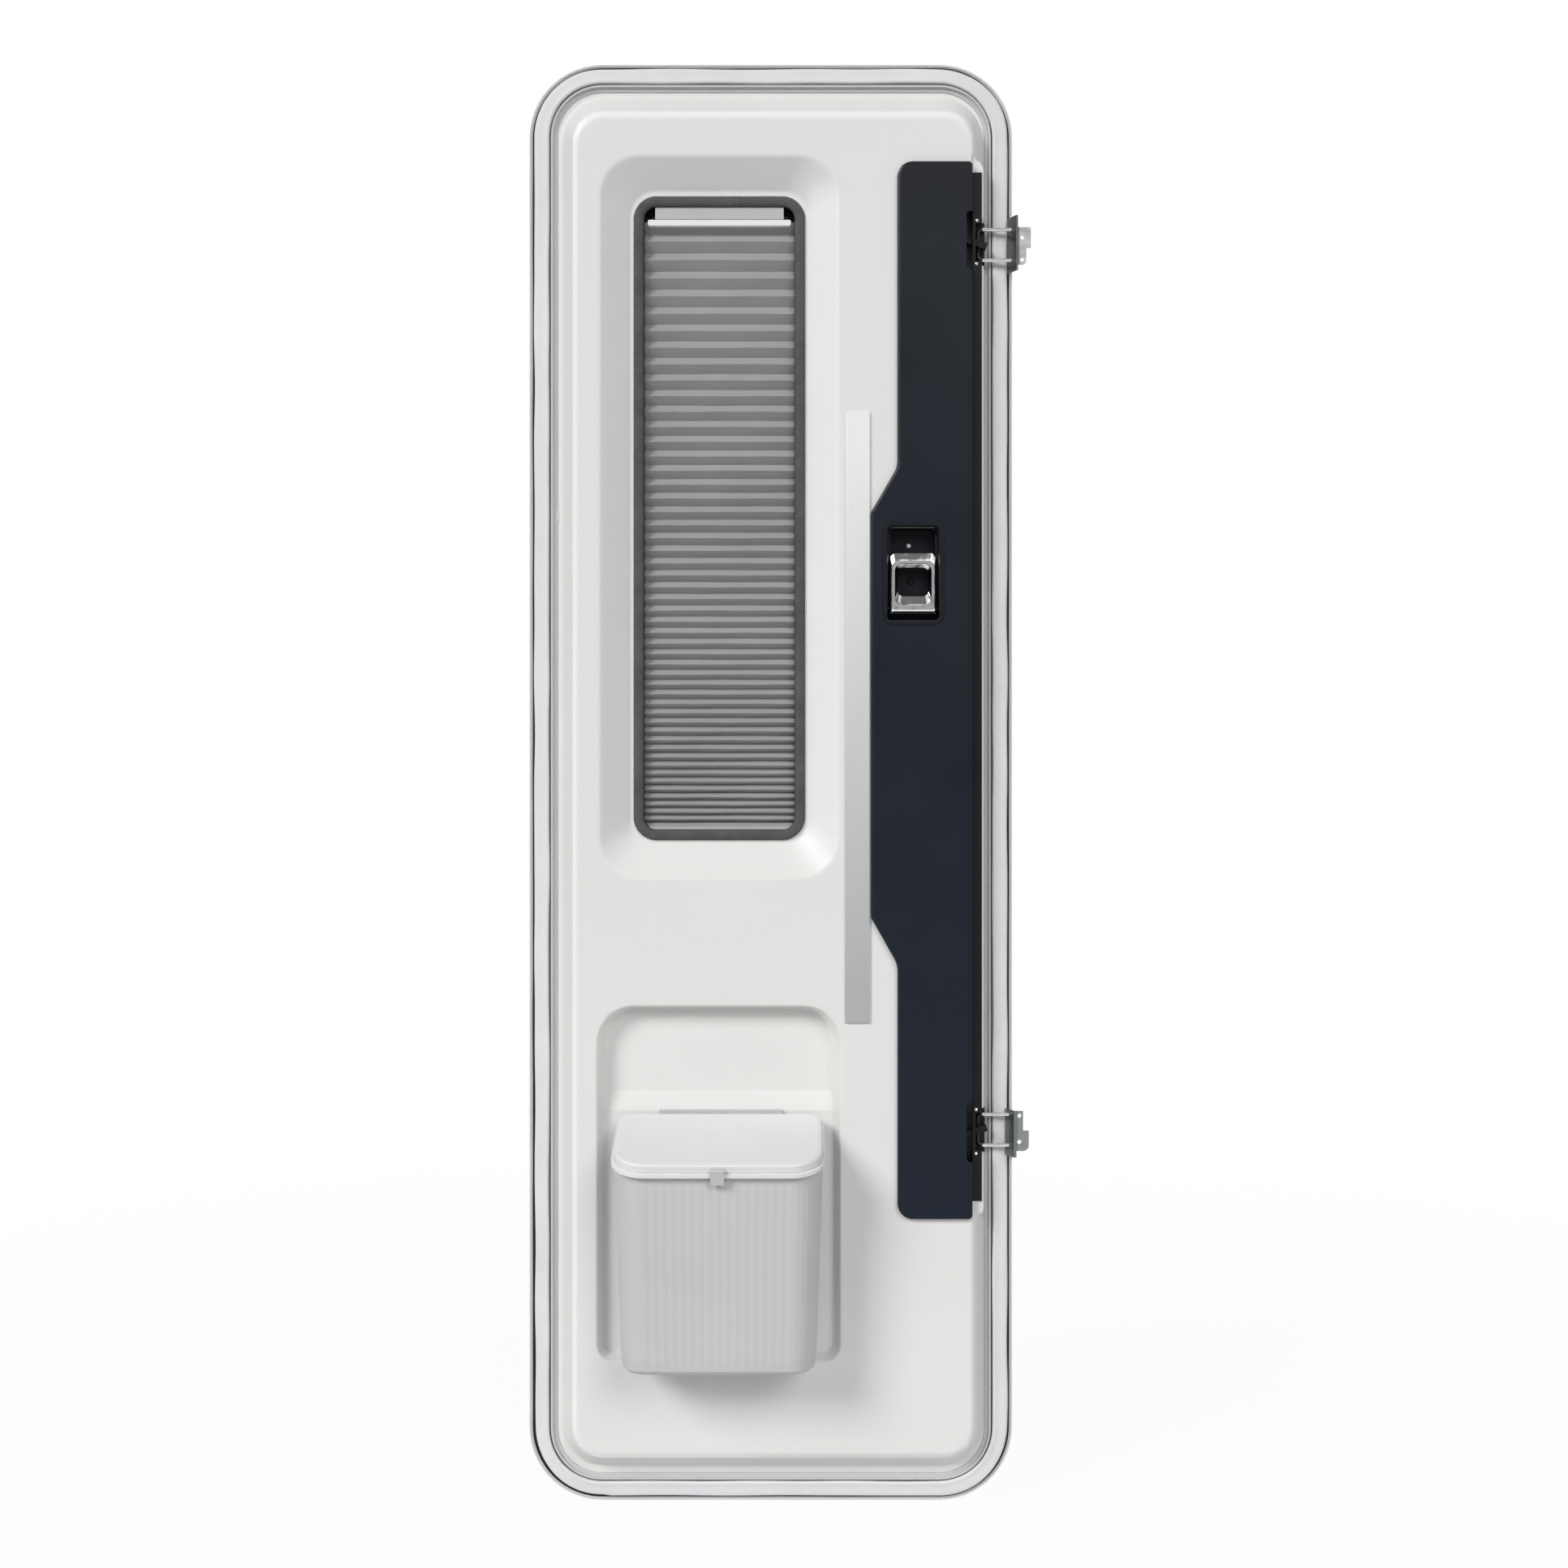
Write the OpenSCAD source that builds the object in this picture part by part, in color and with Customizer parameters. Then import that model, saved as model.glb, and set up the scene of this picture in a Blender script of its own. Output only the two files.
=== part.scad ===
// Caravan entry door leaf, seen from the room: moulded liner with a window and blind,
// a hanging waste bin, a two-point hook lock under a long cover, and the two wall strikers.
// X runs from the hinge edge to the lock edge, Y from the room to the outside, Z up.
// The origin is on the flat hinge edge, at mid height and mid thickness.

/* [Leaf] */
// Width of the leaf over its edge profile
leaf_w = 594.5; // [590:0.5:600]
// Height of the leaf over its edge profile
leaf_h = 1768; // [1760:1:1780]
// Thickness of the leaf at its edge
leaf_t = 24; // [22:1:26]
// Corner radius of the leaf
corner_r = 90; // [80:1:95]
// How far the moulded liner stands in front of the leaf's edge
liner_rise = 30; // [28:1:32]
// Wall of the moulded liner
liner_wall = 3; // [2:0.5:4]

/* [Window] */
// Height of the window's middle above the middle of the leaf
window_z = 325; // [320:1:330]
// Distance of the window's middle from the hinge edge
window_x = 234; // [232:1:236]
// Width of the rubber trim round the window
trim_w = 211; // [205:1:215]
// Height of the rubber trim round the window
trim_h = 792; // [780:1:796]
// Pitch of the blind's first fold
first_pitch = 23; // [21:0.5:24]
// Number of folds in the blind
folds = 47; // [40:1:47]

/* [Bin] */
// Distance of the bin's middle from the hinge edge
bin_x = 236; // [234:1:238]
// Height of the lid's hinge below the middle of the leaf
bin_hinge_drop = 405; // [400:1:408]
// Width of the lid
bin_w = 247; // [240:1:250]
// Depth of the bin under its lid, from back to front
bin_d = 124; // [118:1:128]
// Forward slope of the lid
bin_slope = 18; // [14:1:20]

/* [Lock] */
// Distance of the upper striker above the middle of the leaf
upper_z = 658.5; // [650:0.5:662]
// Distance of the lower striker below the middle of the leaf
lower_z = 425.5; // [420:0.5:430]
// Gap between the two legs of a striker's wire, centre to centre
loop_gap = 37.5; // [36:0.5:40]
// Thickness of the striker's wire
wire_d = 5; // [4:0.5:6]
// Slope of a closed hook
hook_slope = 18; // [14:1:20]

/* [Hidden] */
$fn = 64;

// Levels through the leaf's thickness, from the outside to the room
y_out = leaf_t / 2;
skin_t = 1.5;
y_edge = -leaf_t / 2;
web_t = 2.5;
y_core = y_edge + web_t;
y_face = y_edge - liner_rise;
y_land = y_face + 4;
y_floor = y_edge - 4;
y_cover = y_face - 7;

// Insets from the leaf's outer edge
lip_t = 2.2;
seal_in = 6.5;
seal_out = 24.5;
lip_r = 3.2;
channel_in = 27;
channel_out = 34;

// The liner's outlines as [left, right, bottom, top, corner radius]
half_h = leaf_h / 2;
liner_foot = [37.5, leaf_w - 34, -half_h + 40, half_h - 36, 57];
liner_top = [57, 545.5, -half_h + 62, half_h - 68, 36];
funnel_mouth = [window_x - 145, window_x + 146, window_z - 442, window_z + 438, 50];
funnel_floor = [window_x - 111, window_x + 111, window_z - 403, window_z + 404, 30];
recess_mouth = [86, 382, -705, -272.5, 46, 20];
recess_back = [94, 371.5, -695, -276, 42, 12];
y_recess = y_edge - 6;
y_pad = y_recess - 7;
z_pad = -378;

// The pane sits in the outer skin, and the trim closes the funnel round it
trim_t = 13;
trim_r = 28;
pane_t = 4;
aperture_in = 8;

// The blind hangs between its cassette and its foot
blind_left = window_x - trim_w / 2 + trim_t + 0.3;
blind_right = window_x + trim_w / 2 - trim_t - 0.3;
rail_w = 176;
cassette_w = 158;
blind_top = window_z + 360;
pitch_ratio = 0.982;
pleat_depth = 9;
pleat_t = 0.8;
pleat_skew = 0.14;
y_blind = -8;
y_back_blind = y_blind + 6;

// Lock positions
cover_right = 543;
cover_narrow = 451.5;
cover_wide = 419.5;
cover_top = 755;
cover_bottom = -531;
pocket_x = 470.5;
ring_w = 57;
ring_bottom = 205;
ring_top = 278.5;
handle_z = 212;
y_handle = -41;
y_ring_back = -37;
y_ring_front = -47;
handle_pin_r = 2;
pin_clearance = 0.08;
fit_gap = 0.2;

bar_x = 551;
y_bar = -26;
hook_x = 533;
hook_z_offset = 5;
hook_length = 29.5;
hook_w = 7;
hook_tip = 8.5;
y_hook_front = -36;
y_hook_back = -29.5;
hook_pin_r = 2.5;
case_left = 514;
case_right = 554;
mouth_half = 28;
plate_mouth_half = 23;
wire_end = 600;
y_bracket = -38;
bracket_t = 2;
screw_r = 2.5;
upper_screw_x = 604;
lower_screw_x = 600.5;
case_half = 42;
y_case = -28.8;
notch_left = 535;
notch_half = 36;

// Corner points of a rounded outline p = [left, right, bottom, top, radius], counter-clockwise.
// A sixth value is the radius of the two lower corners, where they differ
function outline(p, n = 8) = [
    for (q = [0:3], i = [0:n])
        let (a = 90 * q + 90 * i / n,
             r = (q < 2 || len(p) < 6) ? p[4] : p[5],
             cx = (q == 0 || q == 3) ? p[1] - r : p[0] + r,
             cz = (q < 2) ? p[3] - r : p[2] + r)
            [cx + r * cos(a), cz + r * sin(a)]
];

// Outline p moved inwards by d on every side
function inset(p, d) = [
    p[0] + d, p[1] - d, p[2] + d, p[3] - d,
    for (i = [4:len(p) - 1]) max(p[i] - d, 1)
];

// Unit vector from one point to another
function heading(a, b) = (b - a) / norm(b - a);

// Points round the corner b between a and c, its edges moved inwards by d, with n steps
function rounded_corner(a, b, c, r, d, n) =
    let (u = heading(b, a),
         v = heading(b, c),
         turn = sign(u[1] * v[0] - u[0] * v[1]),
         half = acos(u * v) / 2,
         inwards = turn * (u + v) / norm(u + v),
         corner = b + inwards * d / sin(half),
         rr = max(r - turn * d, 0.5),
         centre = corner + turn * inwards * rr / sin(half),
         from = corner + u * rr / tan(half) - centre,
         to = corner + v * rr / tan(half) - centre,
         a0 = atan2(from[1], from[0]),
         raw = atan2(to[1], to[0]) - a0,
         sweep = raw - 360 * round(raw / 360))
    [for (i = [0:n]) centre + rr * [cos(a0 + sweep * i / n), sin(a0 + sweep * i / n)]];

// Counter-clockwise path with every corner rounded and its edges moved inwards by d
function rounded_path(points, radii, d = 0, n = 6) = [
    for (i = [0:len(points) - 1])
        each rounded_corner(points[(i + len(points) - 1) % len(points)], points[i],
                            points[(i + 1) % len(points)], radii[i], d, n)
];

function at_level(points, y) = [for (q = points) [q[0], y, q[1]]];

// Solid through rounded outlines: each step of the profile is [share of the way from y0 to y1,
// share of the way from outline a to outline b]
module loft(a, b, y0, y1, profile) {
    rings = [for (s = profile) [for (q = outline(a + (b - a) * s[1])) [q[0], y0 + (y1 - y0) * s[0], q[1]]]];
    skin_rings(rings);
}

// Closed solid through a stack of rings with equal numbers of points
module skin_rings(rings) {
    n = len(rings[0]);
    k = len(rings);
    polyhedron(
        points = [for (r = rings) each r],
        faces = concat(
            [[for (i = [0:n - 1]) i]],
            [for (j = [0:k - 2], i = [0:n - 1])
                let (m = (i + 1) % n) [j * n + m, j * n + i, (j + 1) * n + i, (j + 1) * n + m]],
            [[for (i = [n:-1:1]) (k - 1) * n + i % n]]
        )
    );
}

// A drawing in X and Z made solid between two levels of Y
module slab(y_back, y_front) {
    translate([0, y_back, 0])
        rotate([90, 0, 0])
            linear_extrude(y_back - y_front)
                children();
}

// Rounded rectangle p = [left, right, bottom, top, radius]
module plate(p) {
    translate([p[0] + p[4], p[2]]) square([p[1] - p[0] - 2 * p[4], p[3] - p[2]]);
    translate([p[0], p[2] + p[4]]) square([p[1] - p[0], p[3] - p[2] - 2 * p[4]]);
    for (x = [p[0] + p[4], p[1] - p[4]], z = [p[2] + p[4], p[3] - p[4]])
        translate([x, z]) circle(p[4]);
}

// Rounded ring between two insets of outline p
module ring(p, outer, inner) {
    difference() {
        plate(inset(p, outer));
        plate(inset(p, inner));
    }
}

// Round bars along Y and along X
module bar_y(x, z, r, y_back, y_front) {
    translate([x, y_back, z]) rotate([90, 0, 0]) cylinder(r = r, h = y_back - y_front);
}

module bar_x(x0, x1, y, z, r) {
    translate([x0, y, z]) rotate([0, 90, 0]) cylinder(r = r, h = x1 - x0);
}

leaf = [0, leaf_w, -half_h, half_h, corner_r];
trim = [window_x - trim_w / 2, window_x + trim_w / 2, window_z - trim_h / 2, window_z + trim_h / 2, trim_r];
aperture = inset(trim, aperture_in);
pocket_box = [pocket_x - 37, pocket_x + 37, 191, 314, 14];
dish = [pocket_x - 60, pocket_x + 40, 152, 318, 12];
outer_pocket = [pocket_x - 54, pocket_x + 34, 200, 312, 3];
sharp_fillet = [[0, 0], [0.877, 0.92], [0.957, 1.06], [0.99, 1.18], [1, 1.29]];
soft_well = [[0, 0], [0.06, 0.02], [0.92, 0.92], [1, 1.02]];

module outer_skin() {
    color("white")
        slab(y_out, y_out - skin_t)
            difference() {
                plate(inset(leaf, lip_t));
                plate(aperture);
                plate(inset(dish, -fit_gap));
            }
}

module edge_profile() {
    color("whitesmoke") {
        slab(y_out, y_edge - 1) ring(leaf, 0, lip_t);
        slab(y_core, y_edge) ring(leaf, lip_t, channel_out);
    }
}

module foam_core() {
    color("beige") {
        difference() {
            slab(y_out - skin_t, y_core) plate(inset(leaf, lip_t));
            slab(y_out, y_core - 1) plate(aperture);
            slab(y_out, y_core + 2) plate(inset(dish, -fit_gap));
        }
        liner_filling();
    }
}

// Round bar that follows the leaf's outline at an inset
module rolled(inside, y, r) {
    bend = corner_r - inside;
    for (side = [inside, leaf_w - inside])
        translate([side, y, corner_r - half_h]) cylinder(r = r, h = leaf_h - 2 * corner_r);
    for (level = [inside - half_h, half_h - inside])
        bar_x(corner_r, leaf_w - corner_r, y, level, r);
    for (q = [0:3])
        translate([(q == 0 || q == 3) ? leaf_w - corner_r : corner_r, y,
                   (q < 2) ? half_h - corner_r : corner_r - half_h])
            rotate([90, 0, 0])
                rotate([0, 0, 90 * q])
                    rotate_extrude(angle = 90) translate([bend, 0]) circle(r);
}

module main_seal() {
    color("lightsteelblue") {
        slab(y_edge, y_edge - 6) ring(leaf, seal_in, seal_out - lip_r);
        rolled(seal_out - lip_r, y_edge - lip_r - 0.5, lip_r);
        rolled(seal_in + 2, y_edge - 5.5, 2);
    }
}

module seal_channel() {
    color("gainsboro") {
        slab(y_edge, y_edge - 3) ring(leaf, channel_in, channel_out);
        slab(y_edge - 3, y_edge - 7) ring(leaf, channel_in, channel_in + 2);
    }
}

// Raised land on the liner's lock side, which carries the faceplate
module lock_land(wall = 0) {
    loft(
        inset([500, leaf_w - channel_out - 0.5, cover_bottom - 6, cover_top + 18, 18, 8], wall),
        inset([500, 557, cover_bottom + 4, cover_top + 4, 14, 8], wall),
        y_core, y_land + wall, [[0, 0], [1, 1]]
    );
}

// Room for the latches and the handle pocket, open to the front
module lock_spaces(grow = 0) {
    for (z = [upper_z, -lower_z]) {
        slab(y_core, y_face - 10)
            translate([case_left - grow, z - case_half - grow])
                square([case_right - case_left + 2 * grow, 2 * case_half + 2 * grow]);
        slab(y_bar + 4 + grow, y_face - 10)
            translate([case_left - grow, z - mouth_half - grow])
                square([60, 2 * mouth_half + 2 * grow]);
    }
    slab(y_core, y_face - 10) plate(inset(pocket_box, -fit_gap - grow));
}

// Space inside the liner's skin, which the foam fills
module liner_filling() {
    difference() {
        union() {
            loft(inset(liner_foot, liner_wall), inset(liner_top, liner_wall),
                 y_core, y_face + liner_wall, sharp_fillet);
            lock_land(liner_wall);
        }
        loft(inset(funnel_floor, 2 - liner_wall), inset(funnel_mouth, -1 - liner_wall),
             y_floor + liner_wall, y_face - 1, soft_well);
        loft(inset(recess_back, -liner_wall), inset(recess_mouth, -liner_wall),
             y_recess + liner_wall, y_face - 1, soft_well);
        slab(y_core + 1, y_floor - 1) plate(inset(trim, aperture_in));
        lock_spaces(liner_wall);
    }
}

module inner_liner() {
    color("floralwhite")
        difference() {
            union() {
                slab(y_core, y_edge - 1.5) plate(inset(leaf, channel_out + fit_gap));
                loft(liner_foot, liner_top, y_core, y_face, sharp_fillet);
                lock_land();
            }
            liner_filling();
            loft(inset(funnel_floor, 2), inset(funnel_mouth, -1), y_floor, y_face - 1, soft_well);
            difference() {
                loft(recess_back, recess_mouth, y_recess, y_face - 1, soft_well);
                bin_pad();
            }
            slab(y_core + 1, y_floor - 1) plate(inset(trim, aperture_in));
            slab(y_land, y_face - 10)
                translate([cover_right, cover_bottom]) square([60, cover_top - cover_bottom + 8]);
            lock_spaces();
        }
}

// Raised pad in the recess that the bin hangs on, with a sloping top edge
module bin_pad() {
    rotate([90, 0, 90])
        linear_extrude(leaf_w)
            polygon([[y_core, z_pad], [y_recess, z_pad], [y_pad, z_pad - 18], [y_pad, -720], [y_core, -720]]);
}

module window_frame() {
    color("dimgray") {
        slab(y_out + 2.5, y_out) ring(trim, -6, 14);
        slab(y_out, y_floor + 2) ring(trim, aperture_in, aperture_in + 4);
    }
}

module window_pane() {
    color([0.35, 0.4, 0.42, 0.5])
        slab(y_out - 2, y_out - 2 - pane_t) plate(inset(trim, aperture_in + 4));
}

module window_trim() {
    color("dimgray")
        slab(y_floor, y_floor - 5) ring(trim, 0, trim_t);
}

module blind_frame() {
    color("black") {
        slab(y_out - 2 - pane_t, y_floor) ring(trim, aperture_in + 4, trim_t);
        slab(y_out - 2 - pane_t, y_back_blind + 1) ring(trim, trim_t, trim_t + 4);
    }
}

module blind_cassette() {
    color("lightgray")
        slab(y_back_blind, y_floor)
            plate([window_x - cassette_w / 2, window_x + cassette_w / 2, blind_top + 8, blind_top + 22.5, 1]);
}

module blind_rail() {
    color("white")
        slab(y_blind + 5, y_floor - 1)
            plate([window_x - rail_w / 2, window_x + rail_w / 2, blind_top, blind_top + 7, 2]);
}

// Height of fold i below the rail, falling by a constant ratio as the blind hangs
function fold_z(i) = blind_top - first_pitch * (1 - pow(pitch_ratio, i)) / (1 - pitch_ratio);

module blind_pleats() {
    front = [for (i = [0:2 * folds])
        [y_blind + (i % 2 == 0 ? -pleat_depth / 2 : pleat_depth / 2), fold_z(i / 2 + (i % 2) * pleat_skew)]];
    back = [for (i = [2 * folds:-1:0]) [front[i][0] + pleat_t, front[i][1]]];
    color("gray")
        intersection() {
            translate([blind_left, 0, 0])
                rotate([90, 0, 90])
                    linear_extrude(blind_right - blind_left)
                        polygon(concat(front, back));
            slab(y_out, y_floor) plate(inset(trim, trim_t + 0.3));
        }
}

module blind_foot() {
    color("gray")
        slab(y_back_blind, y_floor)
            intersection() {
                translate([blind_left, fold_z(folds) - 7]) square([blind_right - blind_left, 6.5]);
                plate(inset(trim, trim_t + 0.3));
            }
}

// Bin levels: the lid turns about a pin just in front of the bin's back
y_bin = y_pad - 5;
bin_bottom = -695;
bin_wall = 2.5;
flutes = 16;
flute_depth = 0.5;
body_out = 1.2;
barrel_r = 5.5;
lid_half_t = 5.25;
lid_pin_r = 2;
y_lid_hinge = y_bin - 6;
z_lid_hinge = -bin_hinge_drop - lid_half_t;
lid_length = (bin_d - 6) / cos(bin_slope);
lid_back_r = 14;
rim_grow = 3;
ear_x = 60;
ear_w = 7;
ear_r = 4.2;
ear_room = 0.4;
ear_side_room = 1;

// Corner q of the bin's footprint, between its flat back at y_back and its front at y_front
function foot_corner(q, half, y_back, y_front, r, n) =
    let (cx = (q == 0 || q == 3) ? half - r : r - half,
         cy = (q < 2) ? y_back - r : y_front + r)
    [for (i = [0:n]) let (a = 90 * q + 90 * i / n) [cx + r * cos(a), cy + r * sin(a)]];

// Footprint of the bin, with flutes of a given depth along its front
function footprint(half, y_back, y_front, r, flute = 0, back_r = 3, n = 8) = concat(
    foot_corner(0, half, y_back, y_front, back_r, n),
    foot_corner(1, half, y_back, y_front, back_r, n),
    foot_corner(2, half, y_back, y_front, r, n),
    [for (i = [1:4 * flutes - 1])
        let (share = i / (4 * flutes))
            [(half - r) * (2 * share - 1), y_front + flute * (1 - cos(360 * flutes * share)) / 2]],
    foot_corner(3, half, y_back, y_front, r, n)
);

function at_height(points, z) = [for (q = points) [q[0], q[1], z]];

// Points on a plane parallel to the lid, rise above the hinge
function lid_plane(points, rise) = [
    for (q = points) [q[0], q[1], z_lid_hinge + (q[1] - y_lid_hinge) * tan(bin_slope) + rise / cos(bin_slope)]
];

// Tapered body of the bin, up to a plane above the lid
module bin_shell(grow, bottom, flute = 0) {
    y_front = y_bin - bin_d + 6 - grow;
    half = bin_w / 2 + body_out + grow;
    back = y_bin + min(grow, 0);
    translate([bin_x, 0, 0])
        skin_rings([
            at_height(footprint(half - 17, back, y_front + 20, 24), bottom),
            at_height(footprint(half - 11, back, y_front + 14, 30), bottom + 5),
            at_height(footprint(half - 9, back, y_front + 12, 32, flute), bottom + 18),
            lid_plane(footprint(half, back, y_front, 38, flute), 20)
        ]);
}

// Places its children in the lid's frame: the hinge is the origin and the lid lies flat towards -Y
module in_lid_frame() {
    translate([bin_x, y_lid_hinge, z_lid_hinge])
        rotate([bin_slope, 0, 0])
            children();
}

module lid_bore() {
    bar_x(-bin_w, bin_w, 0, 0, lid_pin_r + pin_clearance);
}

module bin_body() {
    color("lightgray") {
        difference() {
            union() {
                difference() {
                    bin_shell(0, bin_bottom, flute_depth);
                    bin_shell(-bin_wall, bin_bottom + bin_wall);
                    in_lid_frame()
                        translate([-bin_w, -2 * bin_d, -lid_half_t - 1.2])
                            cube([2 * bin_w, 3 * bin_d, 3 * bin_d]);
                }
                for (s = [-1, 1]) translate([bin_x + s * ear_x - ear_w / 2, y_lid_hinge, z_lid_hinge]) {
                    rotate([0, 90, 0]) cylinder(r = ear_r, h = ear_w);
                    translate([0, -1, -24]) cube([ear_w, 5, 24]);
                }
            }
            translate([bin_x, y_lid_hinge, z_lid_hinge]) bar_x(-bin_w / 2, bin_w / 2, 0, 0, lid_pin_r);
        }
    }
}

module bin_rim() {
    color("white")
        difference() {
            in_lid_frame()
                skin_rings([for (z = [-lid_half_t - 5.5, -lid_half_t - 0.5])
                    at_height(footprint(bin_w / 2 + rim_grow, -1, -lid_length - rim_grow, 40), z)]);
            bin_shell(0, bin_bottom);
        }
}

module bin_hinge_pin() {
    color("gray")
        translate([bin_x, y_lid_hinge, z_lid_hinge])
            bar_x(-ear_x - ear_w / 2 - 12, ear_x + ear_w / 2 + 12, 0, 0, lid_pin_r);
}

// Room in the lid's barrel for an ear of the body, closed above and open below and behind
module ear_space() {
    wide = ear_w + 2 * ear_side_room;
    translate([-wide / 2, 0, 0]) {
        rotate([0, 90, 0]) cylinder(r = ear_r + ear_room, h = wide);
        translate([0, -ear_r - ear_room, -20]) cube([wide, 20, 20]);
        translate([0, 0, -20]) cube([wide, 20, 20 + ear_r + 0.1]);
    }
}

module bin_lid() {
    color("whitesmoke")
        in_lid_frame()
            difference() {
                union() {
                    skin_rings([
                        for (s = [[0, -lid_half_t], [0, lid_half_t - 2.6],
                                  [1.5, lid_half_t - 0.8], [5, lid_half_t]])
                            at_height(footprint(bin_w / 2 - s[0], 0, s[0] - lid_length, 40 - s[0], 0,
                                                lid_back_r - s[0]), s[1])
                    ]);
                    bar_x(lid_back_r + 1 - bin_w / 2, bin_w / 2 - lid_back_r - 1, 0, 0, barrel_r);
                }
                skin_rings([for (z = [-lid_half_t - 1, lid_half_t - 3])
                    at_height(footprint(bin_w / 2 - bin_wall, -9, -lid_length + bin_wall, 37), z)]);
                for (s = [-1, 1]) translate([s * ear_x, 0, 0]) ear_space();
                lid_bore();
            }
}

module bin_clip() {
    color("darkgray")
        in_lid_frame()
            rotate([90, 0, 90])
                translate([0, 0, -8])
                    linear_extrude(16)
                        translate([-lid_length, 0])
                            polygon([[0, 1], [0, -4.5], [-rim_grow - 0.8, -5.5], [-rim_grow - 0.8, -18],
                                     [-rim_grow - 3.5, -18], [-rim_grow - 3.5, 0], [-rim_grow - 2.5, 1]]);
}

module bin_hanger() {
    color("darkgray")
        translate([bin_x - 75, y_pad - 4, z_lid_hinge - 30]) cube([150, 4, 30 + lid_half_t + 4]);
}

module silver_strip() {
    color("silver") slab(y_face, y_face - 3) plate([388, 417.5, -292, 451, 0.5]);
}

// The cover's corners and their radii, wide round the handle and narrow above and below
cover_corners = [
    [cover_right, cover_top], [cover_narrow, cover_top], [cover_narrow, 384],
    [cover_wide, 329], [cover_wide, -165], [cover_narrow, -222],
    [cover_narrow, cover_bottom], [cover_right, cover_bottom]
];
cover_radii = [5, 18, 30, 5, 5, 30, 18, 5];

// Cover's outline moved inwards by d. It starts on the straight lock edge, from where all of it can be seen
function cover_ring(d) = concat([[cover_right - d, 0]], rounded_path(cover_corners, cover_radii, d));

crease_w = 5;

module lock_cover() {
    color("darkslategray")
        difference() {
            skin_rings([
                for (s = [[y_face, 0], [y_cover + 2.6, 0.3], [y_cover + 0.8, 1.1], [y_cover, 3]])
                    at_level(cover_ring(s[1]), s[0])
            ]);
            slab(y_face + 1, y_cover - 1) plate(inset(pocket_box, -fit_gap));
            slab(y_cover + 1.2, y_cover - 1)
                translate([cover_right - crease_w, cover_bottom - 1])
                    square([2 * crease_w, cover_top - cover_bottom + 2]);
            for (z = [upper_z, -lower_z])
                slab(y_face + 1, y_cover - 1)
                    plate([notch_left, notch_left + 24, z - notch_half, z + notch_half, 6]);
        }
}

// Rounded trapezoid q = [half width below, half width above, bottom, top, radius] at the level y
function trapezoid(q, y, n = 6) = [
    for (k = [0:3], i = [0:n])
        let (a = 90 * k + 90 * i / n,
             half = (k < 2) ? q[1] : q[0],
             side = (k == 0 || k == 3) ? 1 : -1,
             cz = (k < 2) ? q[3] - q[4] : q[2] + q[4])
            [pocket_x + side * (half - q[4]) + q[4] * cos(a), y, cz + q[4] * sin(a)]
];

module handle_pocket() {
    color("black")
        difference() {
            slab(-20, y_cover - 1) plate(pocket_box);
            skin_rings([
                trapezoid([30, 26.5, 199, 309, 4], -22),
                trapezoid([30.2, 27, 198.5, 309.5, 4], -35.4),
                trapezoid([31, 29.3, 197.5, 310, 4], -36),
                trapezoid([31.8, 29.9, 196.5, 310.5, 5], y_cover + 1.2),
                trapezoid([33.6, 31.7, 194.5, 312, 7], y_cover - 1.5)
            ]);
            bar_x(pocket_x - 34, pocket_x + 34, y_handle, handle_z, handle_pin_r);
        }
}

module pocket_screw() {
    color("silver") bar_y(466.5, 290, 2.5, -22, -24);
}

module handle_pin() {
    color("silver") bar_x(pocket_x - 34, pocket_x + 34, y_handle, handle_z, handle_pin_r);
}

// Outline of the ring with its upper corners cut off, moved inwards at its sides, bottom and top
function ring_outline(side, low, high, cut) =
    let (half = ring_w / 2 - side, z0 = ring_bottom + low, z1 = ring_top - high)
    rounded_path(
        [[pocket_x + half, z0], [pocket_x + half, z1 - cut], [pocket_x + half - cut, z1],
         [pocket_x - half + cut, z1], [pocket_x - half, z1 - cut], [pocket_x - half, z0]],
        [2, 3, 3, 3, 3, 2], 0, 3);

module inside_handle() {
    color("silver")
        difference() {
            skin_rings([
                for (s = [[y_ring_back, 0, 0, 0, 5.5], [y_ring_front + 3.5, 0, 0, 0, 5.5],
                          [y_ring_front + 0.6, 2, 3, 7.5, 4.5], [y_ring_front, 3, 4.5, 9.5, 3.5]])
                    at_level(ring_outline(s[1], s[2], s[3], s[4]), s[0])
            ]);
            skin_rings([
                for (s = [[y_ring_back + 1, 19, 227, 261.5, 7],
                          [y_ring_back - 4, 19, 226.5, 261.5, 7],
                          [y_ring_front + 1, 22, 216.5, 265.5, 9],
                          [y_ring_front - 1, 22.8, 214.5, 266.5, 9.5]])
                    at_level(outline([pocket_x - s[1], pocket_x + s[1], s[2], s[3], s[4]]), s[0])
            ]);
            bar_x(pocket_x - 30, pocket_x + 30, y_handle, handle_z, handle_pin_r + pin_clearance);
        }
}

module lock_faceplate() {
    color("black")
        slab(y_land, y_land - 2)
            difference() {
                translate([543.5, -510]) square([11, 1253]);
                for (z = [upper_z, -lower_z])
                    translate([bar_x - 4, z - plate_mouth_half]) square([20, 2 * plate_mouth_half]);
            }
}

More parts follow.
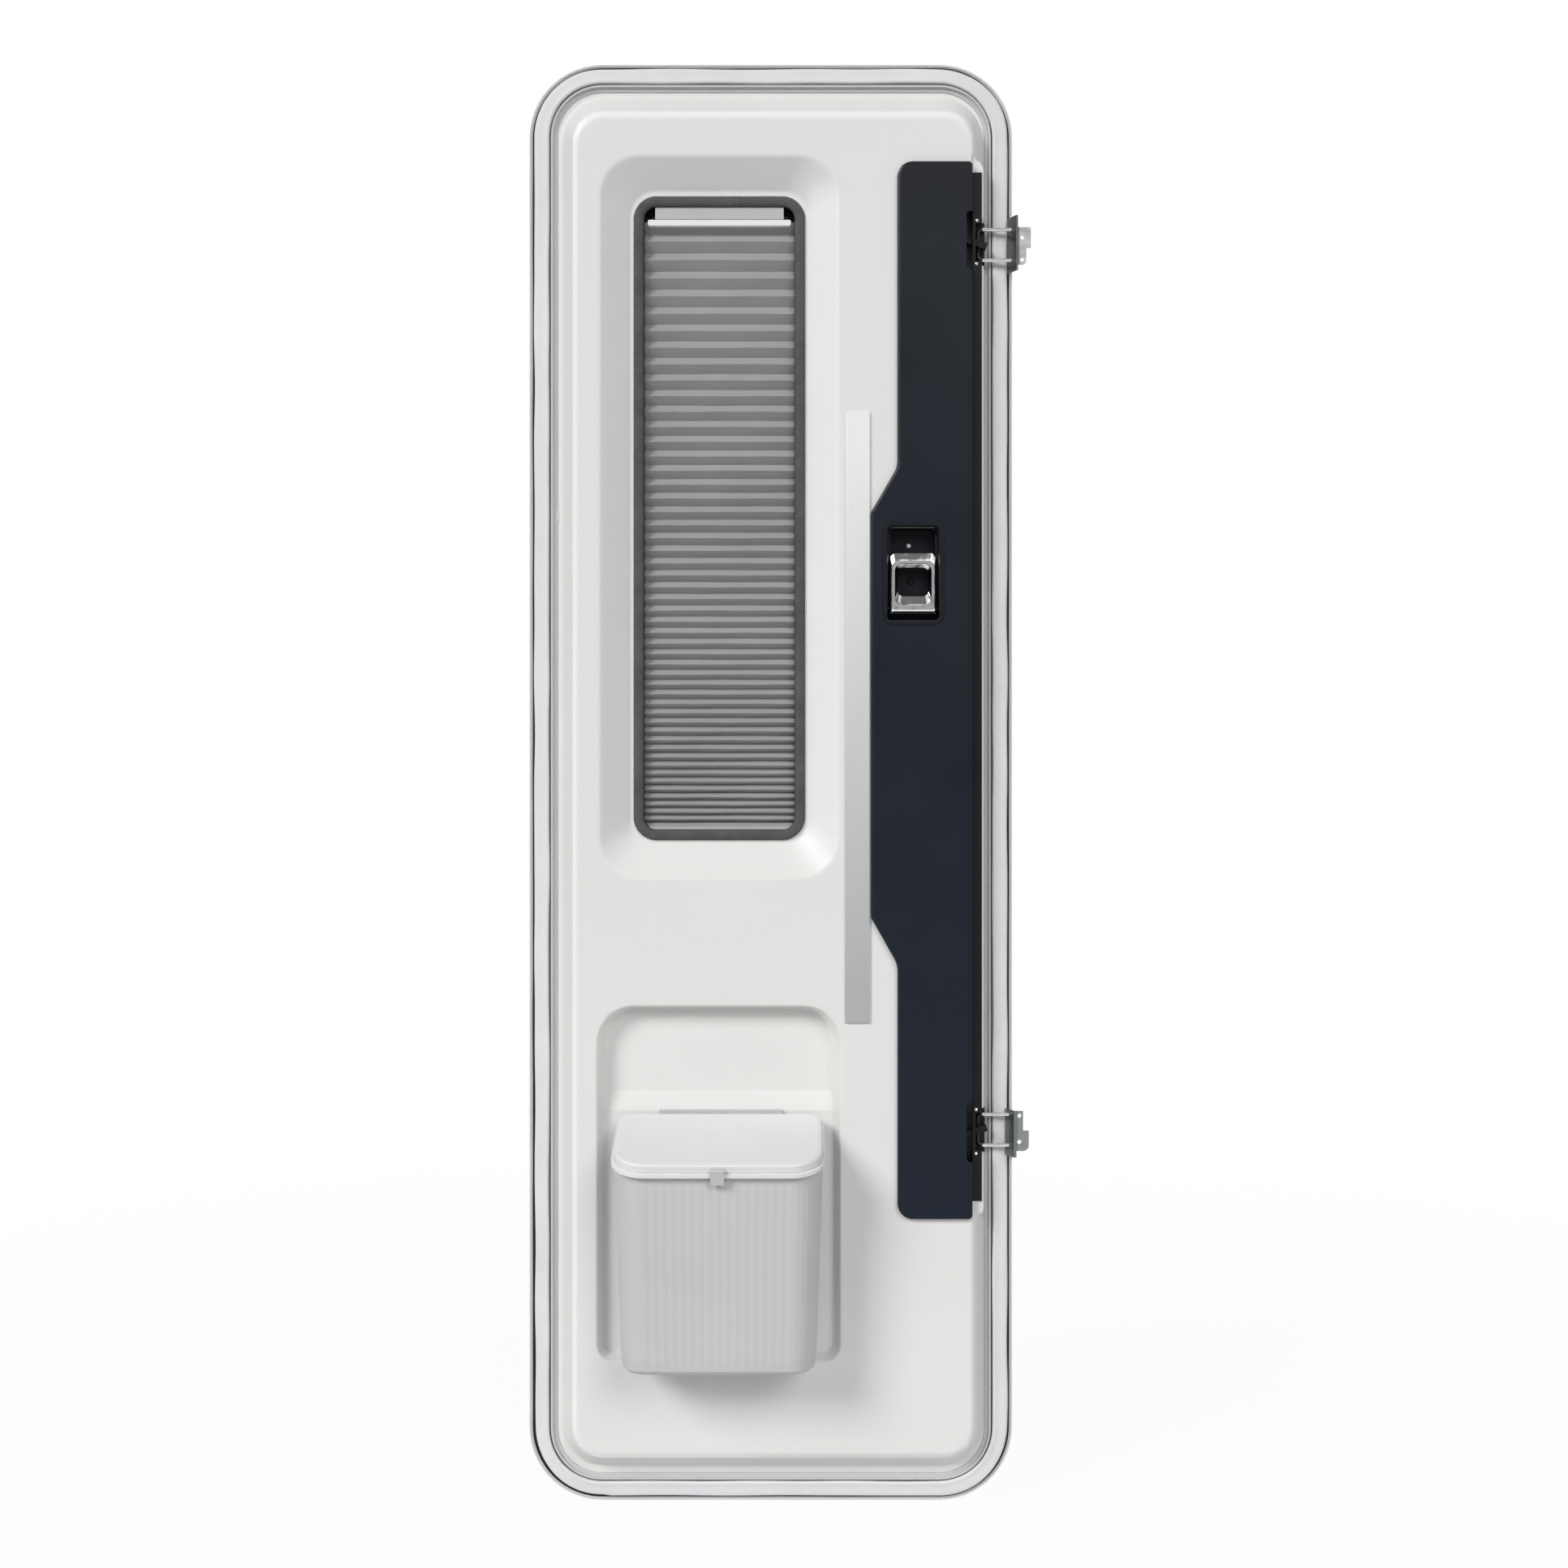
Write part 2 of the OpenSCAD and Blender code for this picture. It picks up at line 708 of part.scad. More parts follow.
// Latch case with its mouth for the striker's bar, about the height z, and a jaw beside the wire
// that the hook turns away from; side is 1 above and -1 below
module latch_case(z, side) {
    color("black")
        difference() {
            union() {
                slab(y_core, y_case)
                    translate([case_left + fit_gap, z - case_half + fit_gap])
                        square([case_right - case_left - 2 * fit_gap, 2 * (case_half - fit_gap)]);
                slab(y_case, y_hook_front - 2)
                    plate([notch_left + 1, bar_x - 8, z - side * 29 - 6, z - side * 29 + 6, 3]);
            }
            translate([bar_x - 4, y_bar + wire_d / 2 + 0.1 - 20, z - mouth_half])
                cube([20, 20, 2 * mouth_half]);
        }
}

module upper_latch_case() { latch_case(upper_z, 1); }
module lower_latch_case() { latch_case(-lower_z, -1); }

// Hook finger over the striker's bar; side is 1 above and -1 below
module hook(z, side) {
    color("black")
        translate([hook_x, 0, z + side * hook_z_offset])
            rotate([0, side * hook_slope, 0])
                difference() {
                    slab(y_hook_back, y_hook_front) {
                        circle(hook_w / 2 + 2);
                        translate([0, -hook_w / 2]) square([hook_length - 8, hook_w]);
                        translate([hook_length - 10, -hook_tip / 2]) square([10, hook_tip]);
                        translate([-6.5, side * 2]) circle(2.5);
                    }
                    bar_y(0, 0, hook_pin_r + pin_clearance, 0, -50);
                }
}

module upper_hook() { hook(upper_z, 1); }
module lower_hook() { hook(-lower_z, -1); }

module hook_pin(z, side) {
    color("silver") bar_y(hook_x, z + side * hook_z_offset, hook_pin_r, y_case, y_hook_front - 1);
}

module upper_hook_pin() { hook_pin(upper_z, 1); }
module lower_hook_pin() { hook_pin(-lower_z, -1); }

// Wire loop of a striker, with its crossbar in the latch's mouth
module striker_loop(z) {
    color("silver") {
        for (s = [-1, 1]) bar_x(bar_x + 5, wire_end, y_bar, z + s * loop_gap / 2, wire_d / 2);
        translate([bar_x, y_bar, z - loop_gap / 2 + 5]) cylinder(r = wire_d / 2, h = loop_gap - 10);
        for (s = [-1, 1])
            translate([bar_x + 5, y_bar, z + s * (loop_gap / 2 - 5)])
                rotate([90, 0, 0])
                    rotate([0, 0, s > 0 ? 90 : 180])
                        rotate_extrude(angle = 90) translate([5, 0]) circle(wire_d / 2);
    }
}

module upper_striker_loop() { striker_loop(upper_z); }
module lower_striker_loop() { striker_loop(-lower_z); }

// Bent strip of a bracket: a slanting web that holds the wires, then a flat wing towards the wall
module bracket_strip(web_x, wing_x, bottom, top) {
    translate([0, 0, bottom])
        linear_extrude(top - bottom)
            polygon([[web_x, -20], [web_x + 8.5, y_bracket + bracket_t], [wing_x, y_bracket + bracket_t],
                     [wing_x, y_bracket], [web_x + 6.7, y_bracket], [web_x - 2, -20]]);
}

// Room for the two wires and the two wall screws
module bracket_holes(z, screw_x, screw_heights) {
    for (s = [-1, 1]) bar_x(bar_x, wire_end + 20, y_bar, z + s * loop_gap / 2, wire_d / 2 + 0.05);
    for (h = screw_heights) bar_y(screw_x, h, screw_r, 0, -50);
}

module upper_striker_bracket() {
    color("silver")
        difference() {
            union() {
                bracket_strip(590, 599, upper_z - 33.5, upper_z + 33.5);
                bracket_strip(590, 614.5, upper_z - 6.5, upper_z + 18.5);
                difference() {
                    bracket_strip(590, 609, upper_z - 27, upper_z - 6);
                    slab(0, -50) corner_cut(609, upper_z - 27, 5);
                }
            }
            bracket_holes(upper_z, upper_screw_x, [upper_z + 6, upper_z - 21]);
        }
}

module lower_striker_bracket() {
    color("silver")
        difference() {
            union() {
                bracket_strip(587, 597, -lower_z - 32, -lower_z + 25);
                bracket_strip(587, 605, -lower_z, -lower_z + 25);
                difference() {
                    bracket_strip(587, 612, -lower_z - 24, -lower_z + 1);
                    slab(0, -50) corner_cut(612, -lower_z - 24, 7);
                }
            }
            bracket_holes(-lower_z, lower_screw_x, [-lower_z + 19, -lower_z - 13]);
        }
}

// What rounding takes off the lower right corner at (x, z)
module corner_cut(x, z, r) {
    difference() {
        translate([x - r, z - 1]) square([r + 1, r + 1]);
        translate([x - r, z + r]) circle(r);
    }
}

module outer_handle_dish() {
    color("black")
        difference() {
            skin_rings([for (s = [[y_out + 2, 2], [y_out + 0.8, 0], [y_core + 2, 0]])
                at_level(outline(inset(dish, s[1])), s[0])]);
            slab(y_out + 3, y_core + 4) plate(outer_pocket);
        }
}

// Flap on an upright barrel that is held between the dish's end walls
module outer_handle() {
    color("black") {
        skin_rings([for (s = [[y_out + 5, 2.5], [y_out + 3.5, 0], [y_out - 2, 0]])
            at_level(outline([pocket_x - 50 + s[1], pocket_x - 6 - s[1], outer_pocket[2] + 4 + s[1],
                              outer_pocket[3] - 4 - s[1], 8]), s[0])]);
        translate([pocket_x - 46, y_out - 3, outer_pocket[2]])
            cylinder(r = 4.2, h = outer_pocket[3] - outer_pocket[2]);
    }
}

module key_cylinder() {
    color("silver") bar_y(pocket_x + 5, 176, 9, y_out + 5, y_out + 2);
}

outer_skin();
edge_profile();
foam_core();
main_seal();
seal_channel();
inner_liner();
window_frame();
window_pane();
window_trim();
blind_frame();
blind_cassette();
blind_rail();
blind_pleats();
blind_foot();
bin_hanger();
bin_body();
bin_rim();
bin_hinge_pin();
bin_lid();
bin_clip();
silver_strip();
lock_cover();
handle_pocket();
pocket_screw();
handle_pin();
inside_handle();
lock_faceplate();
upper_latch_case();
lower_latch_case();
upper_hook();
lower_hook();
upper_hook_pin();
lower_hook_pin();
upper_striker_loop();
lower_striker_loop();
upper_striker_bracket();
lower_striker_bracket();
outer_handle_dish();
outer_handle();
key_cylinder();
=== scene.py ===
# Looks of a caravan entry door leaf: moulded liner, blind, bin, hook lock and wall strikers
import math
import random

import bmesh
import bpy
import numpy as np
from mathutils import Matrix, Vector


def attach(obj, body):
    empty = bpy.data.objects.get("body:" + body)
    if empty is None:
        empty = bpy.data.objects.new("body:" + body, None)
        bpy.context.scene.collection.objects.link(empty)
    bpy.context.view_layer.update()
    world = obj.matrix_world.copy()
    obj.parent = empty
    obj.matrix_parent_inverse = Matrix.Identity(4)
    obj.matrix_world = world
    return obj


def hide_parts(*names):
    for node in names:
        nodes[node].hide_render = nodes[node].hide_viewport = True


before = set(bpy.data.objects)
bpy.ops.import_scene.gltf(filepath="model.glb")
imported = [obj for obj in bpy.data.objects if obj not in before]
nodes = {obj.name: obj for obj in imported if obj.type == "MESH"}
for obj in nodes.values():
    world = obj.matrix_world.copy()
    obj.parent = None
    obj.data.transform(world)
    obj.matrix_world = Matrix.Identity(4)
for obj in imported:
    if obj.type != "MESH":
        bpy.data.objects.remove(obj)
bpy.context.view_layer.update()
random.seed(7)

# Sizes in millimetres, as in the part's source. Meshes are made in millimetres and scaled once.
# An outline is left, right, bottom, top and its corners' radius, then that of its lower corners
# where it differs.
MM = 0.001
HALF_H = 884.0
LEAF = (0.0, 594.5, -HALF_H, HALF_H, 90.0)
TRIM = (128.5, 339.5, -71.0, 721.0, 28.0)

# Lock edge: the two latches' heights, their mouths in the liner, and the places where it is open
LATCHES = (658.5, -425.5)
MOUTH_LEFT = 553.5
MOUTH_HALF = 28.2
LATCH_CUT = (514.0, 554.0, 42.0)
POCKET_CUT = (433.0, 508.0, 191.0, 314.0)

# Liner's outlines. A wall runs from the first outline of a pair to the second.
BORDER = (34.2, 560.3, -849.8, 849.8, 55.8)
OPENING = (136.5, 331.5, -63.0, 713.0, 20.0)
DRAFT = ((37.5, 560.5, -844.0, 848.0, 57.0), (57.0, 545.5, -822.0, 816.0, 36.0))
FUNNEL = ((89.0, 380.0, -117.0, 763.0, 50.0), (125.0, 343.0, -76.0, 727.0, 30.0))
RECESS = ((86.0, 382.0, -705.0, -272.5, 46.0, 20.0), (94.0, 371.5, -695.0, -276.0, 42.0, 12.0))
LAND = ((480.0, 560.3, -537.0, 773.0, 18.0, 8.0), (484.0, 557.0, -527.0, 759.0, 14.0, 8.0))
LAND_LEFT = 536.0
STEP_LEFT = 543.0
STEP_TOP = 763.0
STEP_LOW = -531.0

# Liner's heights over the leaf's middle plane
T_FACE = 42.0
T_LAND = 38.0
T_PAD = 25.0
T_MOUTH = 21.9
T_RECESS = 18.0
T_FLOOR = 16.0
T_FLANGE = 13.5

# How the height rises with the share of the draft edge, and with the depth below the leaf's middle
# on the recess's back
DRAFT_RISE = ((0.0, 0.93, 1.23, 1.27), (9.5, 38.6, 41.9, T_FACE))
PAD_RISE = ((378.0, 402.0), (T_RECESS, T_PAD))


# Shader tools
class Wire:
    """A value in a material. Arithmetic on it adds Math nodes."""

    def __init__(self, finish, socket):
        self.finish = finish
        self.socket = socket

    def math(self, operation, first, second):
        """Math node on two values."""
        return self.finish.node("ShaderNodeMath", {"operation": operation}, {0: first, 1: second})

    def __add__(self, other):
        return self.math("ADD", self, other)

    def __radd__(self, other):
        return self.math("ADD", other, self)

    def __sub__(self, other):
        return self.math("SUBTRACT", self, other)

    def __rsub__(self, other):
        return self.math("SUBTRACT", other, self)

    def __mul__(self, other):
        return self.math("MULTIPLY", self, other)

    def __rmul__(self, other):
        return self.math("MULTIPLY", other, self)

    def clamped(self):
        """The value held between 0 and 1."""
        return self.finish.node("ShaderNodeMath", {"operation": "ADD", "use_clamp": True}, {0: self, 1: 0.0})


class Finish:
    """One material, or the studio's air, and its nodes."""

    def __init__(self, name, air=False):
        self.material = (bpy.data.worlds if air else bpy.data.materials).new(name)
        self.material.use_nodes = True
        self.tree = self.material.node_tree
        self.tree.nodes.clear()
        self.end = "ShaderNodeOutputWorld" if air else "ShaderNodeOutputMaterial"

    def node(self, kind, settings=None, values=None, output=0):
        """A node with its settings and its sockets' values or links. Gives one output, if it has any."""
        made = self.tree.nodes.new(kind)
        for key, value in (settings or {}).items():
            setattr(made, key, value)
        for key, value in (values or {}).items():
            if isinstance(value, Wire):
                self.tree.links.new(value.socket, made.inputs[key])
            else:
                made.inputs[key].default_value = value
        return Wire(self, made.outputs[output]) if made.outputs else None

    def mix(self, share, first, second):
        """Colour between first and second."""
        return self.node("ShaderNodeMix", {"data_type": "RGBA"}, {0: share, 6: first, 7: second}, 2)

    def place(self):
        """Place on the object, in metres."""
        return self.node("ShaderNodeTexCoord", output=3)

    def stretched(self, scale):
        """Place on the object, scaled by different amounts along X, Y and Z."""
        return self.node("ShaderNodeMapping", None, {"Vector": self.place(), "Scale": scale})

    def along(self, axis):
        """One coordinate of the place on the object, in metres."""
        return self.node("ShaderNodeSeparateXYZ", None, {"Vector": self.place()}, axis)

    def noise(self, scale, detail, rough, place=None):
        """Cloudy pattern over the object, or over another place."""
        values = {"Vector": place or self.place(), "Scale": scale, "Detail": detail, "Roughness": rough}
        return self.node("ShaderNodeTexNoise", None, values)

    def spread(self, value, low, high, to_low=0.0, to_high=1.0):
        """Value mapped from one range to another and held inside it."""
        values = {0: value, 1: low, 2: high, 3: to_low, 4: to_high}
        return self.node("ShaderNodeMapRange", None, values)

    def bump(self, height, strength, distance, under=None):
        """Normal raised by a height, on top of another bump if there is one under it."""
        values = {"Height": height, "Strength": strength, "Distance": distance}
        if under is not None:
            values["Normal"] = under
        return self.node("ShaderNodeBump", None, values)

    def ray(self, kind):
        """1 for rays of this kind and 0 for all others."""
        return self.node("ShaderNodeLightPath", output=f"Is {kind} Ray")

    def surface(self, **values):
        """Ends the material in a Principled surface with these socket values."""
        names = {key.replace("_", " "): value for key, value in values.items()}
        return self.ends_in(self.node("ShaderNodeBsdfPrincipled", None, names))

    def ends_in(self, shader):
        """Shows the shader as the material's surface, or as the world."""
        self.node(self.end, None, {0: shader})
        return self.material


# Finishes
def moulded_white(name, light, dark):
    """Satin white moulding with a fine leathery grain and a faint unevenness, and a painted highlight:
    whiter colour on ridges and on a lit wall, from a vertex attribute.
    """
    finish = Finish(name)
    fine = finish.noise(900.0, 2.0, 0.6)
    waves = finish.noise(14.0, 2.0, 0.4)
    shade = finish.spread(finish.noise(3.0, 3.0, 0.55), 0.35, 0.7)
    # Painted highlight: a vertex attribute whitens the ridges and the funnel's lit wall.
    painted_highlight = finish.node("ShaderNodeAttribute", {"attribute_name": "painted_highlight"}, None, 2)
    colour = finish.mix(painted_highlight, finish.mix(shade, light, dark), (0.905, 0.90, 0.89, 1.0))
    normal = finish.bump(fine, 0.06, 0.0002)
    normal = finish.bump(waves, 0.05, 0.004, normal)
    rough = 0.36 + 0.12 * shade
    return finish.surface(Base_Color=colour, Roughness=rough, Normal=normal, Specular_IOR_Level=0.42)


def gloss_white(name, light, dark, smoothest=0.22):
    """Hard glossy white with a faint unevenness."""
    finish = Finish(name)
    cloud = finish.spread(finish.noise(5.0, 3.0, 0.5), 0.15, 0.85)
    colour = finish.mix(cloud, light, dark)
    normal = finish.bump(finish.noise(30.0, 2.0, 0.5), 0.02, 0.002)
    return finish.surface(Base_Color=colour, Roughness=smoothest + 0.05 * cloud, Normal=normal)


def seal_vinyl():
    """Soft bluish grey seal, wiped and slightly mottled."""
    finish = Finish("seal_vinyl")
    cloud = finish.spread(finish.noise(12.0, 4.0, 0.6), 0.3, 0.72)
    specks = finish.spread(finish.noise(420.0, 2.0, 0.7), 0.62, 0.78)
    colour = finish.mix(cloud, (0.75, 0.755, 0.77, 1.0), (0.69, 0.695, 0.71, 1.0))
    colour = finish.mix(specks * 0.25, colour, (0.5, 0.51, 0.53, 1.0))
    normal = finish.bump(finish.noise(700.0, 2.0, 0.5), 0.1, 0.0002)
    normal = finish.bump(finish.noise(45.0, 2.0, 0.5), 0.1, 0.0015, normal)
    rough = 0.5 + 0.15 * cloud
    return finish.surface(Base_Color=colour, Roughness=rough, Normal=normal, Specular_IOR_Level=0.35)


def ribbed_rubber():
    """Dark weathered rubber."""
    finish = Finish("ribbed_rubber")
    cloud = finish.spread(finish.noise(30.0, 4.0, 0.6), 0.3, 0.7)
    dust = finish.spread(finish.noise(350.0, 3.0, 0.7), 0.55, 0.8)
    colour = finish.mix(cloud, (0.092, 0.093, 0.096, 1.0), (0.062, 0.063, 0.067, 1.0))
    colour = finish.mix(dust * 0.35, colour, (0.24, 0.24, 0.25, 1.0))
    normal = finish.bump(finish.noise(600.0, 2.0, 0.6), 0.25, 0.0003)
    rough = 0.62 + 0.15 * cloud
    return finish.surface(Base_Color=colour, Roughness=rough, Normal=normal, Specular_IOR_Level=0.3)


def pocket_plastic():
    """Black moulding, as the cover on its rim, and painted darker inside as shade in the pocket."""
    finish = Finish("pocket_plastic")
    # Painted shade: darker inside the pocket than on its rim.
    inside = finish.spread(finish.along(1), -0.0475, -0.0435)
    colour = finish.mix(inside, (0.0085, 0.0105, 0.0135, 1.0), (0.0062, 0.0075, 0.0115, 1.0))
    normal = finish.bump(finish.noise(1300.0, 2.0, 0.6), 0.22, 0.00025)
    rough = 0.36 + 0.2 * inside
    return finish.surface(Base_Color=colour, Roughness=rough, Normal=normal, Specular_IOR_Level=0.2)


def wire_with_painted_shade():
    """Bright wire whose bar inside the latch is painted black, as shade."""
    finish = Finish("wire_with_painted_shade")
    # Painted shade: the bar inside the latch is black, and the wire beyond it is bright steel.
    outside_latch = finish.spread(finish.along(0), 0.5562, 0.5566)
    cloud = finish.spread(finish.noise(160.0, 4.0, 0.6), 0.35, 0.75)
    steel = finish.mix(cloud * 0.3, (0.72, 0.73, 0.74, 1.0), (0.25, 0.26, 0.27, 1.0))
    colour = finish.mix(outside_latch, (0.006, 0.006, 0.007, 1.0), steel)
    return finish.surface(Base_Color=colour, Metallic=outside_latch, Roughness=0.4 - 0.24 * outside_latch)


def grained_plastic(name, light, dark, smoothest):
    """Dark moulding with a fine spark-eroded grain, painted lighter towards the top and darker lower down,
    as shade.
    """
    finish = Finish(name)
    # Painted shade: the colour runs from the dark one at the bottom to the light one at the top.
    height = finish.spread(finish.along(2), -0.6, 0.75)
    cloud = finish.spread(finish.noise(9.0, 3.0, 0.5), 0.3, 0.7)
    colour = finish.mix(height, dark, light)
    colour = finish.mix(cloud * 0.3, colour, dark)
    normal = finish.bump(finish.noise(1300.0, 2.0, 0.6), 0.22, 0.00025)
    rough = smoothest + 0.12 * cloud
    return finish.surface(Base_Color=colour, Roughness=rough, Normal=normal, Specular_IOR_Level=0.25)


def blind_cloth():
    """Grey pleated blind cloth with a fine weave."""
    finish = Finish("blind_cloth")
    threads = {"Vector": finish.place(), "Scale": 420.0}
    warp = finish.node("ShaderNodeTexWave", {"wave_type": "BANDS", "bands_direction": "X"}, threads)
    weft = finish.node("ShaderNodeTexWave", {"wave_type": "BANDS", "bands_direction": "Z"}, threads)
    cloud = finish.spread(finish.noise(8.0, 3.0, 0.5), 0.3, 0.7)
    colour = finish.mix(cloud, (0.345, 0.345, 0.347, 1.0), (0.31, 0.31, 0.313, 1.0))
    normal = finish.bump(warp * weft, 0.2, 0.00015)
    return finish.surface(
        Base_Color=colour, Roughness=0.85, Normal=normal, Specular_IOR_Level=0.2, Sheen_Weight=0.15
    )


def satin_plastic(name, light, dark):
    """Satin injection moulding."""
    finish = Finish(name)
    cloud = finish.spread(finish.noise(6.0, 3.0, 0.5), 0.3, 0.7)
    colour = finish.mix(cloud, light, dark)
    normal = finish.bump(finish.noise(1000.0, 2.0, 0.5), 0.1, 0.0002)
    rough = 0.4 + 0.12 * cloud
    return finish.surface(Base_Color=colour, Roughness=rough, Normal=normal, Specular_IOR_Level=0.4)


def brushed_strip():
    """Anodised aluminium brushed along its length, with a painted reflection: lighter towards the top,
    darker lower down.
    """
    finish = Finish("brushed_strip")
    lines = finish.noise(1.0, 3.0, 0.6, finish.stretched((1500.0, 1500.0, 6.0)))
    # Painted reflection: the colour runs from dull low down to bright at the top.
    painted_reflection = finish.spread(finish.along(2), -0.25, 0.4)
    colour = finish.mix(painted_reflection, (0.45, 0.46, 0.47, 1.0), (0.85, 0.865, 0.86, 1.0))
    rough = finish.spread(lines, 0.3, 0.7, 0.38, 0.52)
    normal = finish.bump(lines, 0.06, 0.0002)
    return finish.surface(Base_Color=colour, Metallic=0.4, Roughness=rough, Normal=normal)


def bright_metal(name, colour, smoothest, wear, waves):
    """Plated metal with a faintly clouded, wavy surface and darker, duller spots."""
    finish = Finish(name)
    cloud = finish.spread(finish.noise(160.0, 4.0, 0.6), 0.35, 0.75)
    dull = tuple(0.62 * channel for channel in colour[:3]) + (1.0,)
    shade = finish.mix(cloud * wear, colour, dull)
    normal = finish.bump(finish.noise(500.0, 2.0, 0.5), 0.05, 0.0002)
    normal = finish.bump(finish.noise(60.0, 1.0, 0.4), waves, 0.006, normal)
    rough = smoothest + 0.2 * cloud * wear
    return finish.surface(Base_Color=shade, Metallic=1.0, Roughness=rough, Normal=normal)


def bracket_zinc(name, web, plate, bend):
    """Zinc plated steel whose upright web is painted darker than the plate beyond the bend, at X metres, as
    shade.
    """
    finish = Finish(name)
    cloud = finish.spread(finish.noise(160.0, 4.0, 0.6), 0.35, 0.75)
    # Painted shade: the web is darker than the plate.
    beyond = finish.spread(finish.along(0), bend - 0.0004, bend + 0.0004)
    shade = finish.mix(beyond, web, plate)
    shade = finish.mix(cloud * 0.25, shade, web)
    normal = finish.bump(finish.noise(60.0, 1.0, 0.4), 0.1, 0.006)
    return finish.surface(Base_Color=shade, Metallic=1.0, Roughness=0.3 + 0.06 * cloud, Normal=normal)


def tinted_pane():
    """Smoked acrylic, seen from both sides."""
    finish = Finish("tinted_pane")
    dust = finish.spread(finish.noise(14.0, 4.0, 0.5), 0.2, 0.9)
    colour = finish.mix(dust * 0.1, (0.075, 0.08, 0.085, 1.0), (0.2, 0.2, 0.2, 1.0))
    rough = 0.06 + 0.1 * dust
    cover = 0.86 + 0.1 * dust
    return finish.surface(Base_Color=colour, Roughness=rough, Alpha=cover, Specular_IOR_Level=0.5)


def rigid_foam():
    """Pale cut foam with open cells."""
    finish = Finish("rigid_foam")
    cells = finish.node("ShaderNodeTexVoronoi", None, {"Vector": finish.place(), "Scale": 700.0})
    shade = finish.spread(cells, 0.0, 0.6)
    colour = finish.mix(shade, (0.62, 0.58, 0.45, 1.0), (0.78, 0.74, 0.6, 1.0))
    return finish.surface(Base_Color=colour, Roughness=0.9, Normal=finish.bump(cells, 0.4, 0.0006))


LINER = moulded_white("liner_white", (0.785, 0.78, 0.765, 1.0), (0.755, 0.75, 0.735, 1.0))
SKIN = gloss_white("skin_white", (0.8, 0.8, 0.79, 1.0), (0.77, 0.77, 0.765, 1.0))
PROFILE = gloss_white("profile_white", (0.66, 0.665, 0.67, 1.0), (0.56, 0.565, 0.575, 1.0), 0.3)
# The channel's white is painted darker than the liner's, as shade in the crevice beside the seal.
CHANNEL = gloss_white("channel_white", (0.60, 0.60, 0.595, 1.0), (0.55, 0.55, 0.55, 1.0), 0.38)
SEAL = seal_vinyl()
# Black at the seal's outer edge, partly a strip and partly painted shade of the gap there.
STRIP_AND_SHADE_BLACK = grained_plastic("seal_strip_and_shade", (0.014, 0.013, 0.013, 1.0), (0.009, 0.009, 0.009, 1.0), 0.6)
# Grey line of painted shade at the seal's inner edge.
SHADED = grained_plastic("painted_shade_grey", (0.44, 0.44, 0.44, 1.0), (0.38, 0.38, 0.38, 1.0), 0.6)
RUBBER = ribbed_rubber()
COVER = grained_plastic("cover_black", (0.0075, 0.0095, 0.0135, 1.0), (0.0035, 0.0085, 0.0190, 1.0), 0.34)
DEEP = grained_plastic("frame_black", (0.008, 0.0085, 0.010, 1.0), (0.006, 0.007, 0.009, 1.0), 0.5)
BLACKED = grained_plastic("blacked_steel", (0.004, 0.0042, 0.005, 1.0), (0.003, 0.0033, 0.005, 1.0), 0.4)
CLOTH = blind_cloth()
BLIND_WHITE = satin_plastic("blind_white", (0.84, 0.84, 0.835, 1.0), (0.79, 0.79, 0.785, 1.0))
BLIND_GREY = satin_plastic("blind_grey", (0.52, 0.52, 0.53, 1.0), (0.46, 0.46, 0.47, 1.0))
BIN_GREY = satin_plastic("bin_grey", (0.575, 0.575, 0.578, 1.0), (0.54, 0.54, 0.547, 1.0))
BIN_LID = satin_plastic("bin_lid", (0.80, 0.80, 0.80, 1.0), (0.765, 0.765, 0.77, 1.0))
BIN_WHITE = gloss_white("bin_white", (0.86, 0.86, 0.86, 1.0), (0.82, 0.82, 0.825, 1.0), 0.2)
STRIP = brushed_strip()
CHROME = bright_metal("chrome", (0.84, 0.845, 0.85, 1.0), 0.09, 0.1, 0.16)
ZINC = bright_metal("zinc_plate", (0.64, 0.67, 0.65, 1.0), 0.3, 0.3, 0.1)
# The upper and lower brackets are lit and shaded copies of one zinc, their colours set apart as painted
# light and shade.
UPPER_ZINC = bracket_zinc("upper_bracket_zinc", (0.16, 0.165, 0.16, 1.0), (0.54, 0.565, 0.55, 1.0), 0.6005)
LOWER_ZINC = bracket_zinc("lower_bracket_zinc", (0.21, 0.23, 0.22, 1.0), (0.30, 0.335, 0.32, 1.0), 0.5985)
WIRE = wire_with_painted_shade()
POCKET = pocket_plastic()
PANE = tinted_pane()
FOAM = rigid_foam()


def coat(name, material):
    """Gives a CAD node a material, and shading that follows its larger faces."""
    obj = nodes[name]
    obj.data.materials.clear()
    obj.data.materials.append(material)
    even = obj.modifiers.new("even_faces", "WEIGHTED_NORMAL")
    even.mode = "FACE_AREA"
    even.weight = 100
    even.keep_sharp = True


